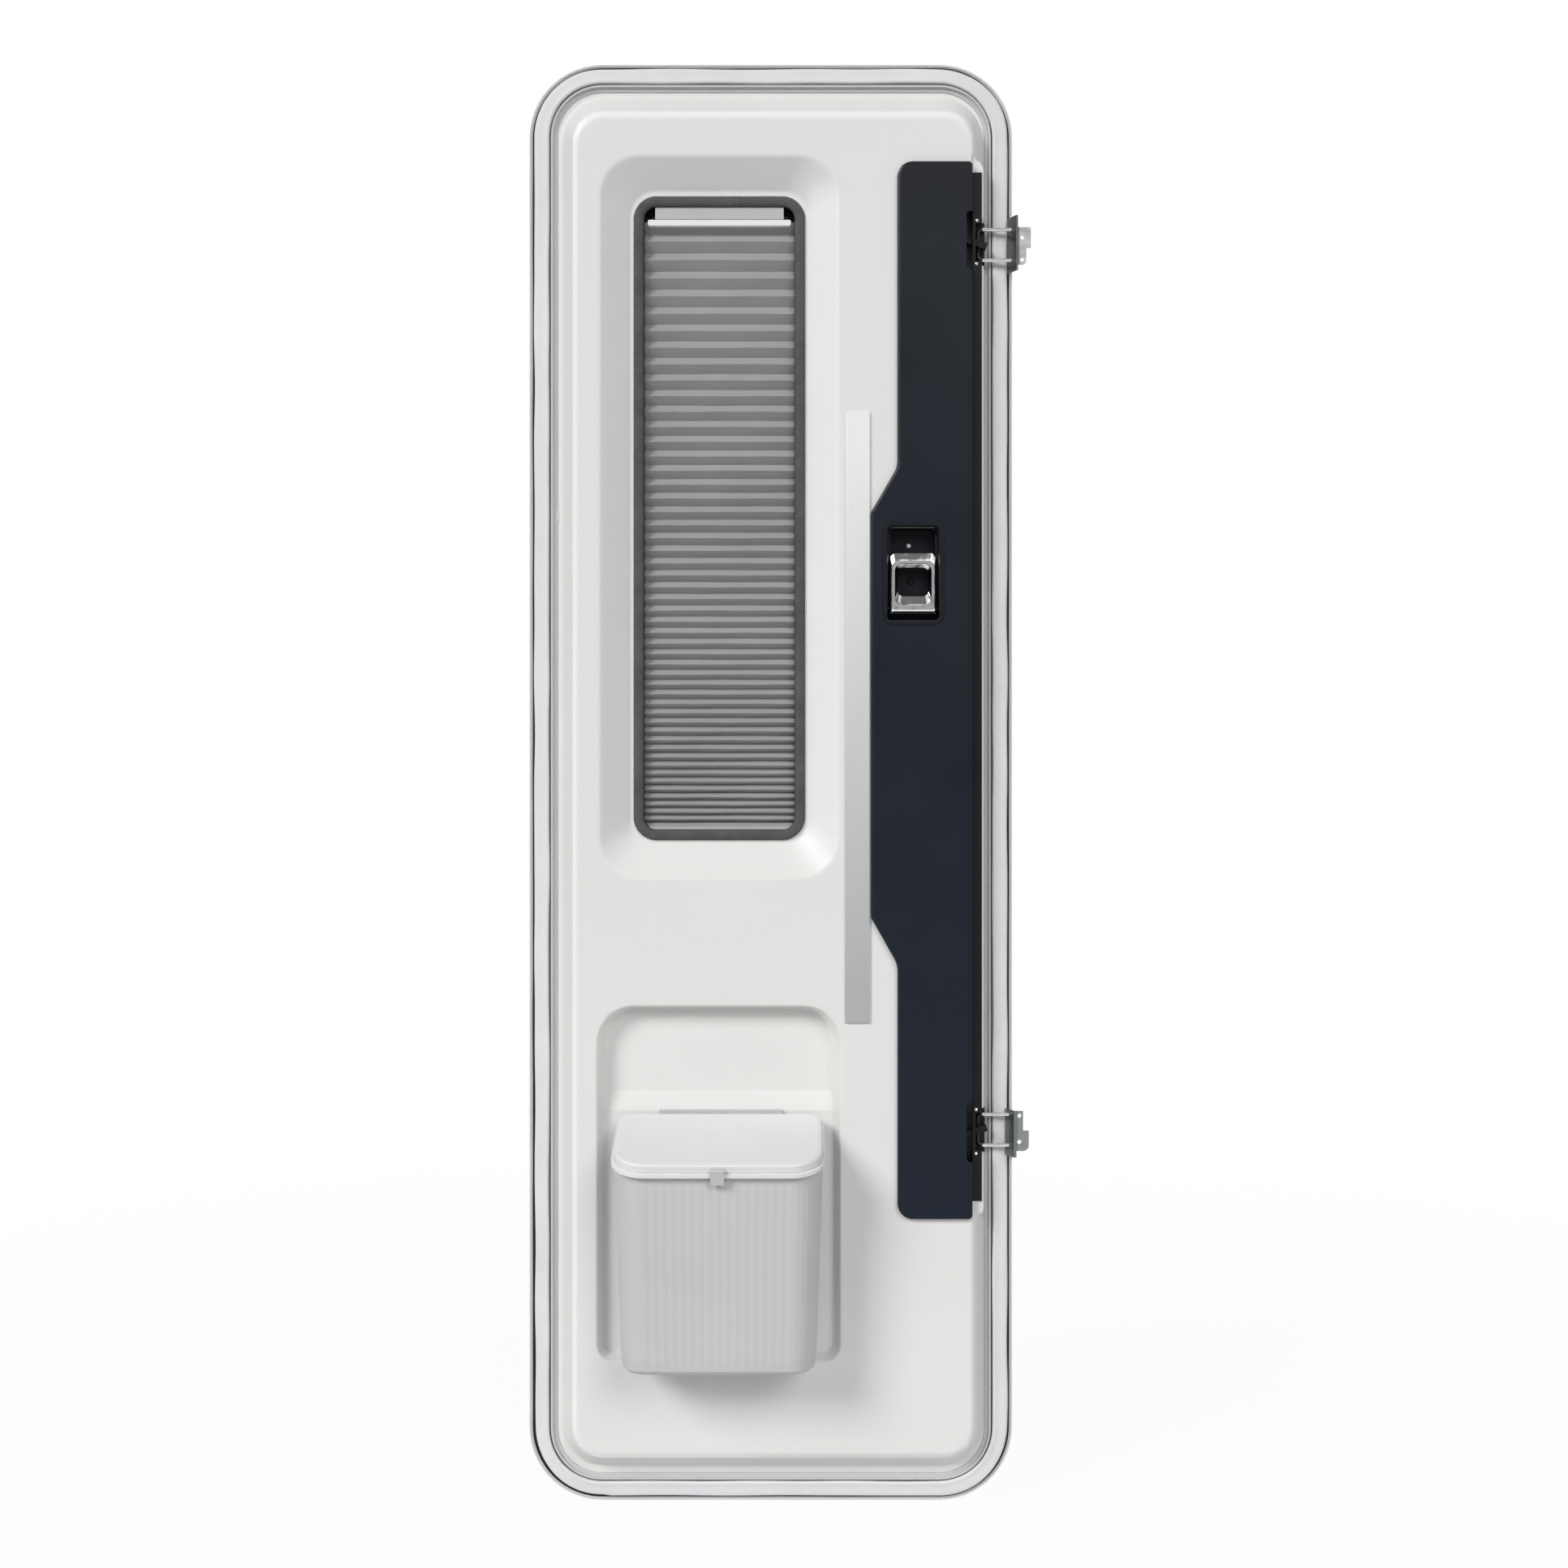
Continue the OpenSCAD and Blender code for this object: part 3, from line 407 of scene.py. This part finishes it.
for name, material in {
    "outer_skin": SKIN, "edge_profile": PROFILE, "foam_core": FOAM, "seal_channel": CHANNEL,
    "window_frame": RUBBER, "window_pane": PANE, "blind_frame": DEEP, "blind_cassette": BLIND_GREY,
    "blind_rail": BLIND_WHITE, "blind_foot": BLIND_GREY, "bin_hanger": BIN_GREY,
    "bin_body": BIN_GREY, "bin_rim": BIN_WHITE, "bin_hinge_pin": ZINC, "bin_lid": BIN_LID,
    "bin_clip": BIN_GREY, "silver_strip": STRIP, "lock_cover": COVER, "handle_pocket": POCKET,
    "pocket_screw": ZINC, "handle_pin": BLACKED, "inside_handle": CHROME, "lock_faceplate": BLACKED,
    "upper_latch_case": BLACKED, "lower_latch_case": BLACKED, "upper_hook": BLACKED,
    "lower_hook": BLACKED, "upper_hook_pin": BLACKED, "lower_hook_pin": BLACKED,
    "upper_striker_loop": WIRE, "lower_striker_loop": WIRE, "upper_striker_bracket": UPPER_ZINC,
    "lower_striker_bracket": LOWER_ZINC, "outer_handle_dish": DEEP, "outer_handle": COVER,
    "key_cylinder": ZINC, "main_seal": SEAL, "inner_liner": LINER, "window_trim": RUBBER,
    "blind_pleats": CLOTH,
}.items():
    coat(name, material)


# Mesh tools
def new_piece(name, points, faces, material, smooth=True):
    """A mesh from points in millimetres, riding on the leaf."""
    mesh = bpy.data.meshes.new(name)
    mesh.from_pydata((np.asarray(points, float) * MM).tolist(), [], faces)
    mesh.materials.append(material)
    mesh.validate()
    obj = bpy.data.objects.new(name, mesh)
    bpy.context.scene.collection.objects.link(obj)
    for face in mesh.polygons:
        face.use_smooth = smooth
    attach(obj, "root")
    return obj


def grid_faces(rows, columns):
    """Quads between rows of points."""
    starts = [r * columns + c for r in range(rows - 1) for c in range(columns - 1)]
    return [(start, start + 1, start + columns + 1, start + columns) for start in starts]


def walk_round(box, straight_step, corner_steps):
    """Points round an outline, with the direction inwards at each."""
    left, right, bottom, top, radius = box
    centres = [(right - radius, top - radius), (left + radius, top - radius),
               (left + radius, bottom + radius), (right - radius, bottom + radius)]
    places, inwards = [], []
    for q, centre in enumerate(centres):
        for i in range(corner_steps + 1):
            angle = math.radians(90 * q + 90 * i / corner_steps)
            out = np.array([math.cos(angle), math.sin(angle)])
            places.append(centre + radius * out)
            inwards.append(-out)
        start = places[-1]
        end = centres[(q + 1) % 4] + radius * out
        steps = max(1, round(float(np.linalg.norm(end - start)) / straight_step))
        for i in range(1, steps):
            places.append(start + (end - start) * i / steps)
            inwards.append(-out)
    return np.array(places), np.array(inwards)


def swept_ring(name, box, section, straight_step, corner_steps, material):
    """A ring swept round an outline. section gives (inset, height) points for the place along it."""
    places, inwards = walk_round(box, straight_step, corner_steps)
    count = len(places)
    lengths = np.r_[0, np.cumsum(np.linalg.norm(np.diff(places, axis=0), axis=1))]
    points = []
    for i in range(count):
        for inset, height in section(i, lengths[i], places[i]):
            x, z = places[i] + inwards[i] * inset
            points.append((x, -height, z))
    columns = len(points) // count
    faces = []
    for r in range(count):
        here = r * columns
        after = (r + 1) % count * columns
        for c in range(columns):
            beside = (c + 1) % columns
            faces.append((here + c, after + c, after + beside, here + beside))
    return new_piece(name, points, faces, material)


def worked_piece(name, work, material):
    """A piece with flat faces, from mesh work in millimetres."""
    work.verts.index_update()
    points = [tuple(corner.co) for corner in work.verts]
    faces = [tuple(corner.index for corner in face.verts) for face in work.faces]
    work.free()
    return new_piece(name, points, faces, material, smooth=False)


def bevelled_bar(name, across, through, up, bevel, material):
    """A bar between two X, two Y and two Z, with its edges bevelled."""
    work = bmesh.new()
    bmesh.ops.create_cube(work, size=1.0)
    spans = [np.array(span) for span in (across, through, up)]
    for corner in work.verts:
        corner.co = Vector([span.mean() + np.ptp(span) * share for span, share in zip(spans, corner.co)])
    bmesh.ops.bevel(work, geom=list(work.edges), offset=bevel, segments=2, affect="EDGES")
    return worked_piece(name, work, material)


# Moulded inner liner, as a height field over the leaf
def soft_min(a, b, fillet):
    """The lower of two heights, rounded where they cross."""
    near = np.maximum(fillet - np.abs(a - b), 0.0) / fillet
    return np.minimum(a, b) - near * near * fillet / 4


def soft_max(a, b, fillet):
    """The higher of two heights, rounded where they cross."""
    return -soft_min(-a, -b, fillet)


def outside(x, z, box):
    """Distance outside an outline, negative inside it."""
    left, right, bottom, top = box[:4]
    radius = np.where(z > (bottom + top) / 2, box[4], box[-1])
    qx = np.abs(x - (left + right) / 2) - (right - left) / 2 + radius
    qz = np.abs(z - (bottom + top) / 2) - (top - bottom) / 2 + radius
    return np.hypot(np.maximum(qx, 0), np.maximum(qz, 0)) + np.minimum(np.maximum(qx, qz), 0) - radius


def share_between(x, z, outer, inner):
    """How far a point lies from the outer outline, 0, to the inner one, 1, and beyond.

    The share is found by halving the range that it may lie in.
    """
    lowest, highest, halvings = -0.6, 2.2, 26
    under = np.full(x.shape, lowest)
    over = np.full(x.shape, highest)
    for _ in range(halvings):
        middle = (under + over) / 2
        box = [start + (end - start) * middle for start, end in zip(outer, inner)]
        box[4:] = [np.maximum(radius, 1.0) for radius in box[4:]]
        is_outside = outside(x, z, box) > 0
        over = np.where(is_outside, middle, over)
        under = np.where(is_outside, under, middle)
    return (under + over) / 2


def grid_lines(*stretches):
    """Grid lines from stretches of (start, end, step)."""
    lines = set()
    for start, end, step in stretches:
        count = max(1, round((end - start) / step))
        lines.update(np.round(np.linspace(start, end, count + 1), 4).tolist())
    return np.array(sorted(lines))


def liner_grid():
    """Places of the liner's points over the leaf, close together where it bends."""
    xs = grid_lines(
        (34.2, 66, 1.2), (66, 82, 5.4), (82, 98, 1.4), (98, 122, 3.5), (122, 132, 1.2), (132, 176, 3.0),
        (176, 292, 14), (292, 336, 3.0), (336, 346, 1.2), (346, 366, 3.5), (366, 388, 1.4),
        (388, 500, 14), (500, 536, 6), (536, 560.3, 1.1),
    )
    zs = grid_lines(
        (-849.8, -808, 1.3), (-808, -712, 8), (-712, -672, 1.5), (-672, -640, 4), (-640, -404, 16),
        (-404, -400, 1.0), (-400, -380, 4.0), (-380, -376, 0.8), (-376, -322, 6), (-322, -268, 1.5),
        (-268, -122, 12), (-122, -66, 1.8), (-66, -22, 3.5), (-22, 672, 15), (672, 714, 3.5),
        (714, 768, 1.8), (768, 802, 4), (802, 849.8, 1.3), (-540, -520, 2.0),
        (-467.5, -453.5, 4.6), (-454.0, -453.0, 0.5), (-398.0, -397.0, 0.5),
        (616.5, 630.5, 4.6), (630.0, 631.0, 0.5), (686.0, 687.0, 0.5), (687.0, 700.5, 4.6),
    )
    return np.meshgrid(xs, zs)


def in_mouth(x, z):
    """Whether places lie in the mouth of a latch."""
    beside = np.min([np.abs(z - middle) for middle in LATCHES], axis=0)
    return (x > MOUTH_LEFT) & (beside < MOUTH_HALF)


def liner_height(x, z, climb):
    """Liner's height where climb is how far a point lies up the draft edge."""
    height = np.maximum(np.interp(climb, *DRAFT_RISE), T_FLANGE)

    # Window funnel
    funnel = T_FACE - (T_FACE - T_FLOOR) * share_between(x, z, *FUNNEL)
    height = soft_min(height, soft_max(funnel, T_FLOOR, 1.0), 1.6)

    # Bin recess, whose back rises to the pad behind the bin
    back = np.interp(-z, *PAD_RISE)
    recess = T_FACE - (T_FACE - T_RECESS) * share_between(x, z, *RECESS)
    height = soft_min(height, soft_max(recess, back, 3.0), 2.4)

    # Land under the lock cover, to which the face steps down, and the latches' mouths in it
    step = T_LAND + np.maximum(STEP_LEFT - x, 0) * 6
    step = step + np.maximum(z - STEP_TOP, 0) * 3 + np.maximum(STEP_LOW - z, 0) * 3
    height = np.minimum(height, step)
    land = T_FLANGE + (T_LAND - T_FLANGE) * share_between(x, z, *LAND)
    land = soft_max(height, soft_min(land, T_LAND, 1.5), 1.5)
    height = np.where(x > LAND_LEFT, land, height)
    return np.where(in_mouth(x, z), np.minimum(height, T_MOUTH), height)


def painted_highlight_share(x, z, climb, height):
    """Share of painted highlight along the liner's left and top ridge, and of painted light on the funnel's
    right wall.
    """
    ridge = np.interp(climb, (0.9, 1.0, 1.08, 1.28), (0.0, 0.75, 0.75, 0.0)) * (x < LAND_LEFT)
    on_left = (300.0 - x) / 60.0
    at_top = (z - 640.0) / 60.0
    ridge = ridge * np.clip(np.maximum(on_left, at_top), 0.0, 1.0)

    wall = np.interp(x, (341.0, 347.0, 378.0, 381.5), (0.0, 0.4, 0.4, 0.0)) * (height < T_FACE - 0.4)
    above_low_corner = (z + 84.0) / 14.0
    below_top_corner = (738.0 - z) / 14.0
    wall = wall * np.clip(np.minimum(above_low_corner, below_top_corner), 0.0, 1.0)
    return np.maximum(ridge, wall)


def in_lock_space(x, z):
    """Whether a place lies over a latch or the handle's pocket, where the liner is open."""
    left, right, half = LATCH_CUT
    over_latch = left < x < right and any(abs(z - middle) < half for middle in LATCHES)
    left, right, bottom, top = POCKET_CUT
    return over_latch or (left < x < right and bottom < z < top)


def pulled_to(x, z, box, where):
    """Moves the chosen points to the nearest point of an outline."""
    left, right, bottom, top, radius = box
    cx = np.clip(x, left + radius, right - radius)
    cz = np.clip(z, bottom + radius, top - radius)
    dx, dz = x - cx, z - cz
    corner = (np.abs(dx) > 1e-6) & (np.abs(dz) > 1e-6)
    scale = radius / np.maximum(np.hypot(dx, dz), 1e-6)
    near_x = np.where(corner, cx + dx * scale, x)
    near_z = np.where(corner, cz + dz * scale, z)
    gaps = np.stack([np.abs(x - left), np.abs(right - x), np.abs(z - bottom), np.abs(top - z)])
    nearest = np.argmin(gaps, axis=0)
    flat_x = np.where(nearest == 0, left, np.where(nearest == 1, right, x))
    flat_z = np.where(nearest == 2, bottom, np.where(nearest == 3, top, z))
    flat_x = np.where(nearest >= 2, np.clip(flat_x, left, right), flat_x)
    flat_z = np.where(nearest < 2, np.clip(flat_z, bottom, top), flat_z)
    near_x = np.where(corner, near_x, flat_x)
    near_z = np.where(corner, near_z, flat_z)
    return np.where(where, near_x, x), np.where(where, near_z, z)


def drop_loose(obj):
    """Removes points that no face uses, and edges of no length."""
    work = bmesh.new()
    work.from_mesh(obj.data)
    loose = [corner for corner in work.verts if not corner.link_faces]
    bmesh.ops.delete(work, geom=loose, context="VERTS")
    bmesh.ops.dissolve_degenerate(work, dist=1e-6, edges=work.edges)
    work.to_mesh(obj.data)
    work.free()


def moulded_liner():
    """The liner's one skin: draft edge, window funnel, bin recess with its pad, and lock land."""
    x, z = liner_grid()
    climb = share_between(x, z, *DRAFT)
    height = liner_height(x, z, climb)
    out = outside(x, z, BORDER)
    into = outside(x, z, OPENING)
    points_x, points_z = pulled_to(x, z, BORDER, out > 0)
    points_x, points_z = pulled_to(points_x, points_z, OPENING, (into < 0) & (into > -18))
    points = np.stack([points_x.ravel(), -height.ravel(), points_z.ravel()], axis=1)
    kept = []
    for face in grid_faces(*x.shape):
        middle_x = float(np.mean([x.flat[i] for i in face]))
        middle_z = float(np.mean([z.flat[i] for i in face]))
        past_border = all(out.flat[i] > 0 for i in face)
        in_opening = all(into.flat[i] < 0 for i in face)
        if not (past_border or in_opening or in_lock_space(middle_x, middle_z)):
            kept.append(face)
    liner = new_piece("moulded_liner", points, kept, LINER)
    # This attribute holds the painted highlight on the ridges and the funnel's right wall.
    painted_highlight = liner.data.attributes.new("painted_highlight", "FLOAT", "POINT")
    painted_highlight.data.foreach_set("value", painted_highlight_share(x, z, climb, height).ravel())
    liner.data.materials.append(BLACKED)
    for face in liner.data.polygons:
        if in_mouth(face.center.x / MM, face.center.z / MM):
            face.material_index = 1
    drop_loose(liner)
    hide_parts("inner_liner")


moulded_liner()


# Leaf seal, a soft flap whose edges wander a little, over a black strip at its outer edge that is partly
# painted shade of the gap there, and a grey line of painted shade at its inner edge
def wander_of(waves, length):
    """How far an edge strays at a length along the seal."""
    return sum(size * math.sin(length / pitch * math.tau + phase) for size, pitch, phase in waves)


def random_waves(count, low, high):
    """Waves of (height, pitch, phase), with heights between low and high."""
    return [
        (random.uniform(low, high), random.uniform(90, 420), random.uniform(0, 6.3))
        for _ in range(count)
    ]


def leaf_seal():
    """Seal's flap, whose outer edge hangs a little slack low down on the hinge side."""
    outer_edge, slack_width, inner_lip = 6.2, 1.6, 21.6
    inner_waves = random_waves(7, 0.25, 0.6)
    outer_waves = random_waves(5, 0.1, 0.3)

    def section(i, length, place):
        x, z = place
        wander = wander_of(inner_waves, length)
        slack = max(0.0, (-z - 100.0) / 700.0) if x < 100 else 0.0
        start = outer_edge + wander_of(outer_waves, length) + slack_width * min(slack, 1.0)
        lip = inner_lip + 0.5 * wander
        rise = 0.15 * wander
        return [
            (start + 0.3, 12.1), (start, 15.2), (start + 0.6, 16.9), (start + 2.4, 17.6 + rise),
            (13.0, 17.9 + rise), (18.0, 18.2 + rise), (lip - 1.5, 18.8 + rise),
            (lip, 19.4 + rise), (lip + 1.8, 19.2 + rise), (lip + 3.0, 18.0), (lip + 3.2, 16.4),
            (lip + 2.2, 14.8), (lip + 0.4, 13.9), (lip - 1.5, 13.6), (lip - 2.2, 12.1),
        ]

    seal = swept_ring("leaf_seal", LEAF, section, 12.0, 28, SEAL)
    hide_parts("main_seal")


def seal_strip_and_shade():
    """Strips beside the seal's edges: black outside, partly a strip and partly painted shade of the gap, and
    grey inside, a line of painted shade.
    """
    edge_waves = random_waves(5, 0.05, 0.15)

    def outer_section(i, length, place):
        wander = wander_of(edge_waves, length)
        return [(3.9, 12.02), (4.1 + wander, 12.7), (6.0, 12.9), (9.5, 12.9), (9.8, 12.02)]

    def inner_section(i, length, place):
        return [(24.6, 12.02), (24.8, 12.6), (26.8, 12.7), (27.0, 12.02)]

    for name, section, rubber in (
        ("outer_seal_black_edge", outer_section, STRIP_AND_SHADE_BLACK),
        ("inner_seal_shade_line", inner_section, SHADED),
    ):
        backing = swept_ring(name, LEAF, section, 12.0, 28, rubber)


leaf_seal()
seal_strip_and_shade()


# Ribbed rubber trim round the window
def window_rubber():
    """Half round trim, ribbed across all the way round."""
    half_width = 6.5
    height = 4.6
    steps = 8

    def section(i, length, place):
        rib = 0.28 if i % 2 else -0.12
        ring = []
        for k in range(steps + 1):
            angle = math.pi * k / steps
            inset = half_width - half_width * math.cos(angle)
            ring.append((inset, T_FLOOR + (height + rib) * math.sin(angle) ** 0.7))
        return ring + [(12.4, 15.9), (0.6, 15.9)]

    trim = swept_ring("window_rubber", TRIM, section, 1.7, 22, RUBBER)
    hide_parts("window_trim")


window_rubber()


# Pleated blind, one folded sheet over its foot bar
BLIND_EDGES = (141.8, 326.2)


def blind_sheet():
    """The folded sheet. Each fold is 2% lower than the one above it, and the cloth sags slightly."""
    left, right = BLIND_EDGES
    middle, depth = -8.5, 4.2
    folds = 50
    columns = 24
    top_ridge, top_pitch, lessening = 689.9, 23.4, 0.98

    def ridge_z(k):
        return top_ridge - top_pitch * (1 - lessening ** k) / (1 - lessening)

    turns = []
    for k in range(folds):
        down = k / folds
        drop = ridge_z(k + 1) - ridge_z(k)
        valley_z = ridge_z(k) + drop * (0.545 - 0.04 * down - 0.19 * down ** 2)
        turns += [(middle - depth, ridge_z(k)), (middle + depth, valley_z)]
    turns.append((middle - depth, ridge_z(folds)))
    rows, creases = [], []
    for turn, following in zip(turns, turns[1:]):
        creases.append(len(rows))
        for share in (0.0, 0.25, 0.75):
            rows.append(tuple(np.add(turn, np.subtract(following, turn) * share)))
    creases.append(len(rows))
    rows.append(turns[-1])
    points = []
    for r, (y, z) in enumerate(rows):
        for share in np.linspace(0.0, 1.0, columns).tolist():
            x = left + (right - left) * share
            sag = 0.35 * math.sin(share * 9 + r * 0.31) + 0.2 * math.sin(share * 23 + r * 0.7)
            points.append((x, y + 0.3 * sag, z + 0.4 * sag))
    sheet = new_piece("blind_sheet", points, grid_faces(len(rows), columns), CLOTH)
    for edge in sheet.data.edges:
        start_row, end_row = (corner // columns for corner in edge.vertices)
        edge.use_edge_sharp = start_row == end_row and start_row in creases
    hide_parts("blind_pleats")


def blind_foot_bar():
    """Slim bar under the last fold, mostly behind the rubber trim."""
    bar = bevelled_bar("blind_foot_bar", BLIND_EDGES, (-13.2, -3.6), (-58.6, -54.2), 0.7, BLIND_GREY)
    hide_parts("blind_foot")


blind_sheet()
blind_foot_bar()


# Joints of the seal's channel
def channel_joints():
    """Slim bars at the two places where ends of the channel meet."""
    width = 2.6
    for name, x, low, high in (
        ("left_channel_joint", 32.9, 321.5, 334.5),
        ("right_channel_joint", 560.8, 503.0, 511.0),
    ):
        joint = bevelled_bar(name, (x, x + width), (-14.9, -11.9), (low, high), 0.5, SKIN)


channel_joints()


# Small screws on the lock edge, by X, Z and metal, and the bolt in the handle's pocket
LOCK_SCREWS = (
    (548.8, 684.6, ZINC), (548.2, 632.0, ZINC), (549.2, 310.3, BLACKED),
    (549.2, 203.6, BLACKED), (547.6, -398.6, ZINC), (547.4, -452.0, ZINC),
)
FACEPLATE_Y = -40.0


def screw(name, place, radius, material):
    """Domed head with a cross recess, facing the room."""
    sides = 24
    work = bmesh.new()
    rings = []
    for share, lift in ((1.0, 0.0), (1.0, 0.25), (0.86, 0.55), (0.55, 0.78)):
        ring = []
        for i in range(sides):
            angle = math.tau * i / sides
            across = radius * share * math.cos(angle)
            up = radius * share * math.sin(angle)
            ring.append(work.verts.new((across, -0.55 * lift * radius, up)))
        rings.append(ring)
    recess = []
    for i, corner in enumerate(rings[-1]):
        sunk = 0.28 * radius if i % 6 in (0, 1, 5) else 0.0
        recess.append(work.verts.new(corner.co + Vector((0, sunk, 0))))
    rings.append(recess)
    for lower, upper in zip(rings, rings[1:]):
        for i in range(sides):
            after = (i + 1) % sides
            work.faces.new((lower[i], lower[after], upper[after], upper[i]))
    centre = work.verts.new((0, -0.1 * radius, 0))
    for i in range(sides):
        work.faces.new((recess[i], recess[(i + 1) % sides], centre))
    bmesh.ops.recalc_face_normals(work, faces=work.faces)
    bmesh.ops.translate(work, verts=work.verts, vec=place)
    head = worked_piece(name, work, material)


for i, (x, z, metal) in enumerate(LOCK_SCREWS):
    screw(f"faceplate_screw_{i + 1}", (x, FACEPLATE_Y, z), radius=1.9, material=metal)
screw("pocket_bolt", (469.0, -22.0, 247.0), radius=5.0, material=BLACKED)


# Studio
def studio():
    """Plain pale floor under the leaf, wide enough for every view. It fades to white far away."""
    level = -HALF_H - 1.0
    sides, ends = (-7000, 7600), (-7000, 7000)
    points = [(x, y, level) for y in ends for x in sides]
    mesh = bpy.data.meshes.new("studio_floor")
    mesh.from_pydata((np.array(points) * MM).tolist(), [], grid_faces(2, 2))

    paper = Finish("studio_paper")
    plain = paper.node("ShaderNodeBsdfDiffuse", None, {"Color": (0.74, 0.74, 0.74, 1.0)})
    white = paper.node("ShaderNodeEmission", None, {"Color": (1.0, 1.0, 1.0, 1.0), "Strength": 1.0})
    seen = (paper.ray("Camera") + paper.ray("Glossy") + paper.ray("Transmission")).clamped()
    under_leaf = {0: paper.place(), 1: (0.3, 0.0, -HALF_H * MM)}
    distance = paper.node("ShaderNodeVectorMath", {"operation": "DISTANCE"}, under_leaf, 1)
    away = paper.spread(distance, 0.8, 2.6)
    share = seen * (0.95 + 0.05 * away)
    shader = paper.node("ShaderNodeMixShader", None, {0: share, 1: plain, 2: white})
    mesh.materials.append(paper.ends_in(shader))
    floor = bpy.data.objects.new("studio_floor", mesh)
    bpy.context.scene.collection.objects.link(floor)


def far_lamp(name, towards, strength, spread):
    """Broad lamp far away, shining along a direction."""
    data = bpy.data.lights.new(name, "SUN")
    data.energy = strength
    data.angle = math.radians(spread)
    lamp = bpy.data.objects.new(name, data)
    lamp.rotation_euler = Vector(towards).to_track_quat("-Z", "Y").to_euler()
    bpy.context.scene.collection.objects.link(lamp)


def studio_air():
    """Faint light from all round, white behind the door. Bright metal sees pale and dim patches in it."""
    air = Finish("studio_air", air=True)
    faint = air.node("ShaderNodeBackground", None, {"Color": (1.0, 1.0, 1.0, 1.0), "Strength": 0.12})
    pale = air.node("ShaderNodeBackground", None, {"Color": (1.0, 1.0, 1.0, 1.0), "Strength": 1.0})
    direction = air.node("ShaderNodeTexCoord", output=0)
    patches = air.spread(air.noise(3.2, 1.0, 0.5, direction), 0.45, 0.55, 0.05, 0.8)
    towards = air.node("ShaderNodeSeparateXYZ", None, {"Vector": direction}, 1)
    patches = patches * air.spread(towards, -0.97, -0.8, 0.42, 1.0)
    share = (air.ray("Camera") + air.ray("Transmission") + air.ray("Glossy") * patches).clamped()
    shader = air.node("ShaderNodeMixShader", None, {0: share, 1: faint, 2: pale})
    bpy.context.scene.world = air.ends_in(shader)


studio()
far_lamp("key_lamp", (0.6, 0.6, -0.53), 1.98, 22)
far_lamp("fill_lamp", (-0.4, 0.75, -0.53), 1.1, 30)
far_lamp("outside_lamp", (-0.35, -0.85, -0.4), 1.7, 30)
studio_air()

# Camera level with the leaf's middle, as far away as the photograph's perspective asks
eye = bpy.data.cameras.new("door_camera")
eye.sensor_width = 36.0
eye.lens = 44.7
camera = bpy.data.objects.new("door_camera", eye)
camera.location = (0.3135, -2.412, -0.002)
camera.rotation_euler = (math.radians(90), 0, 0)
bpy.context.scene.collection.objects.link(camera)
bpy.context.scene.camera = camera
bpy.context.scene.view_settings.view_transform = "Standard"
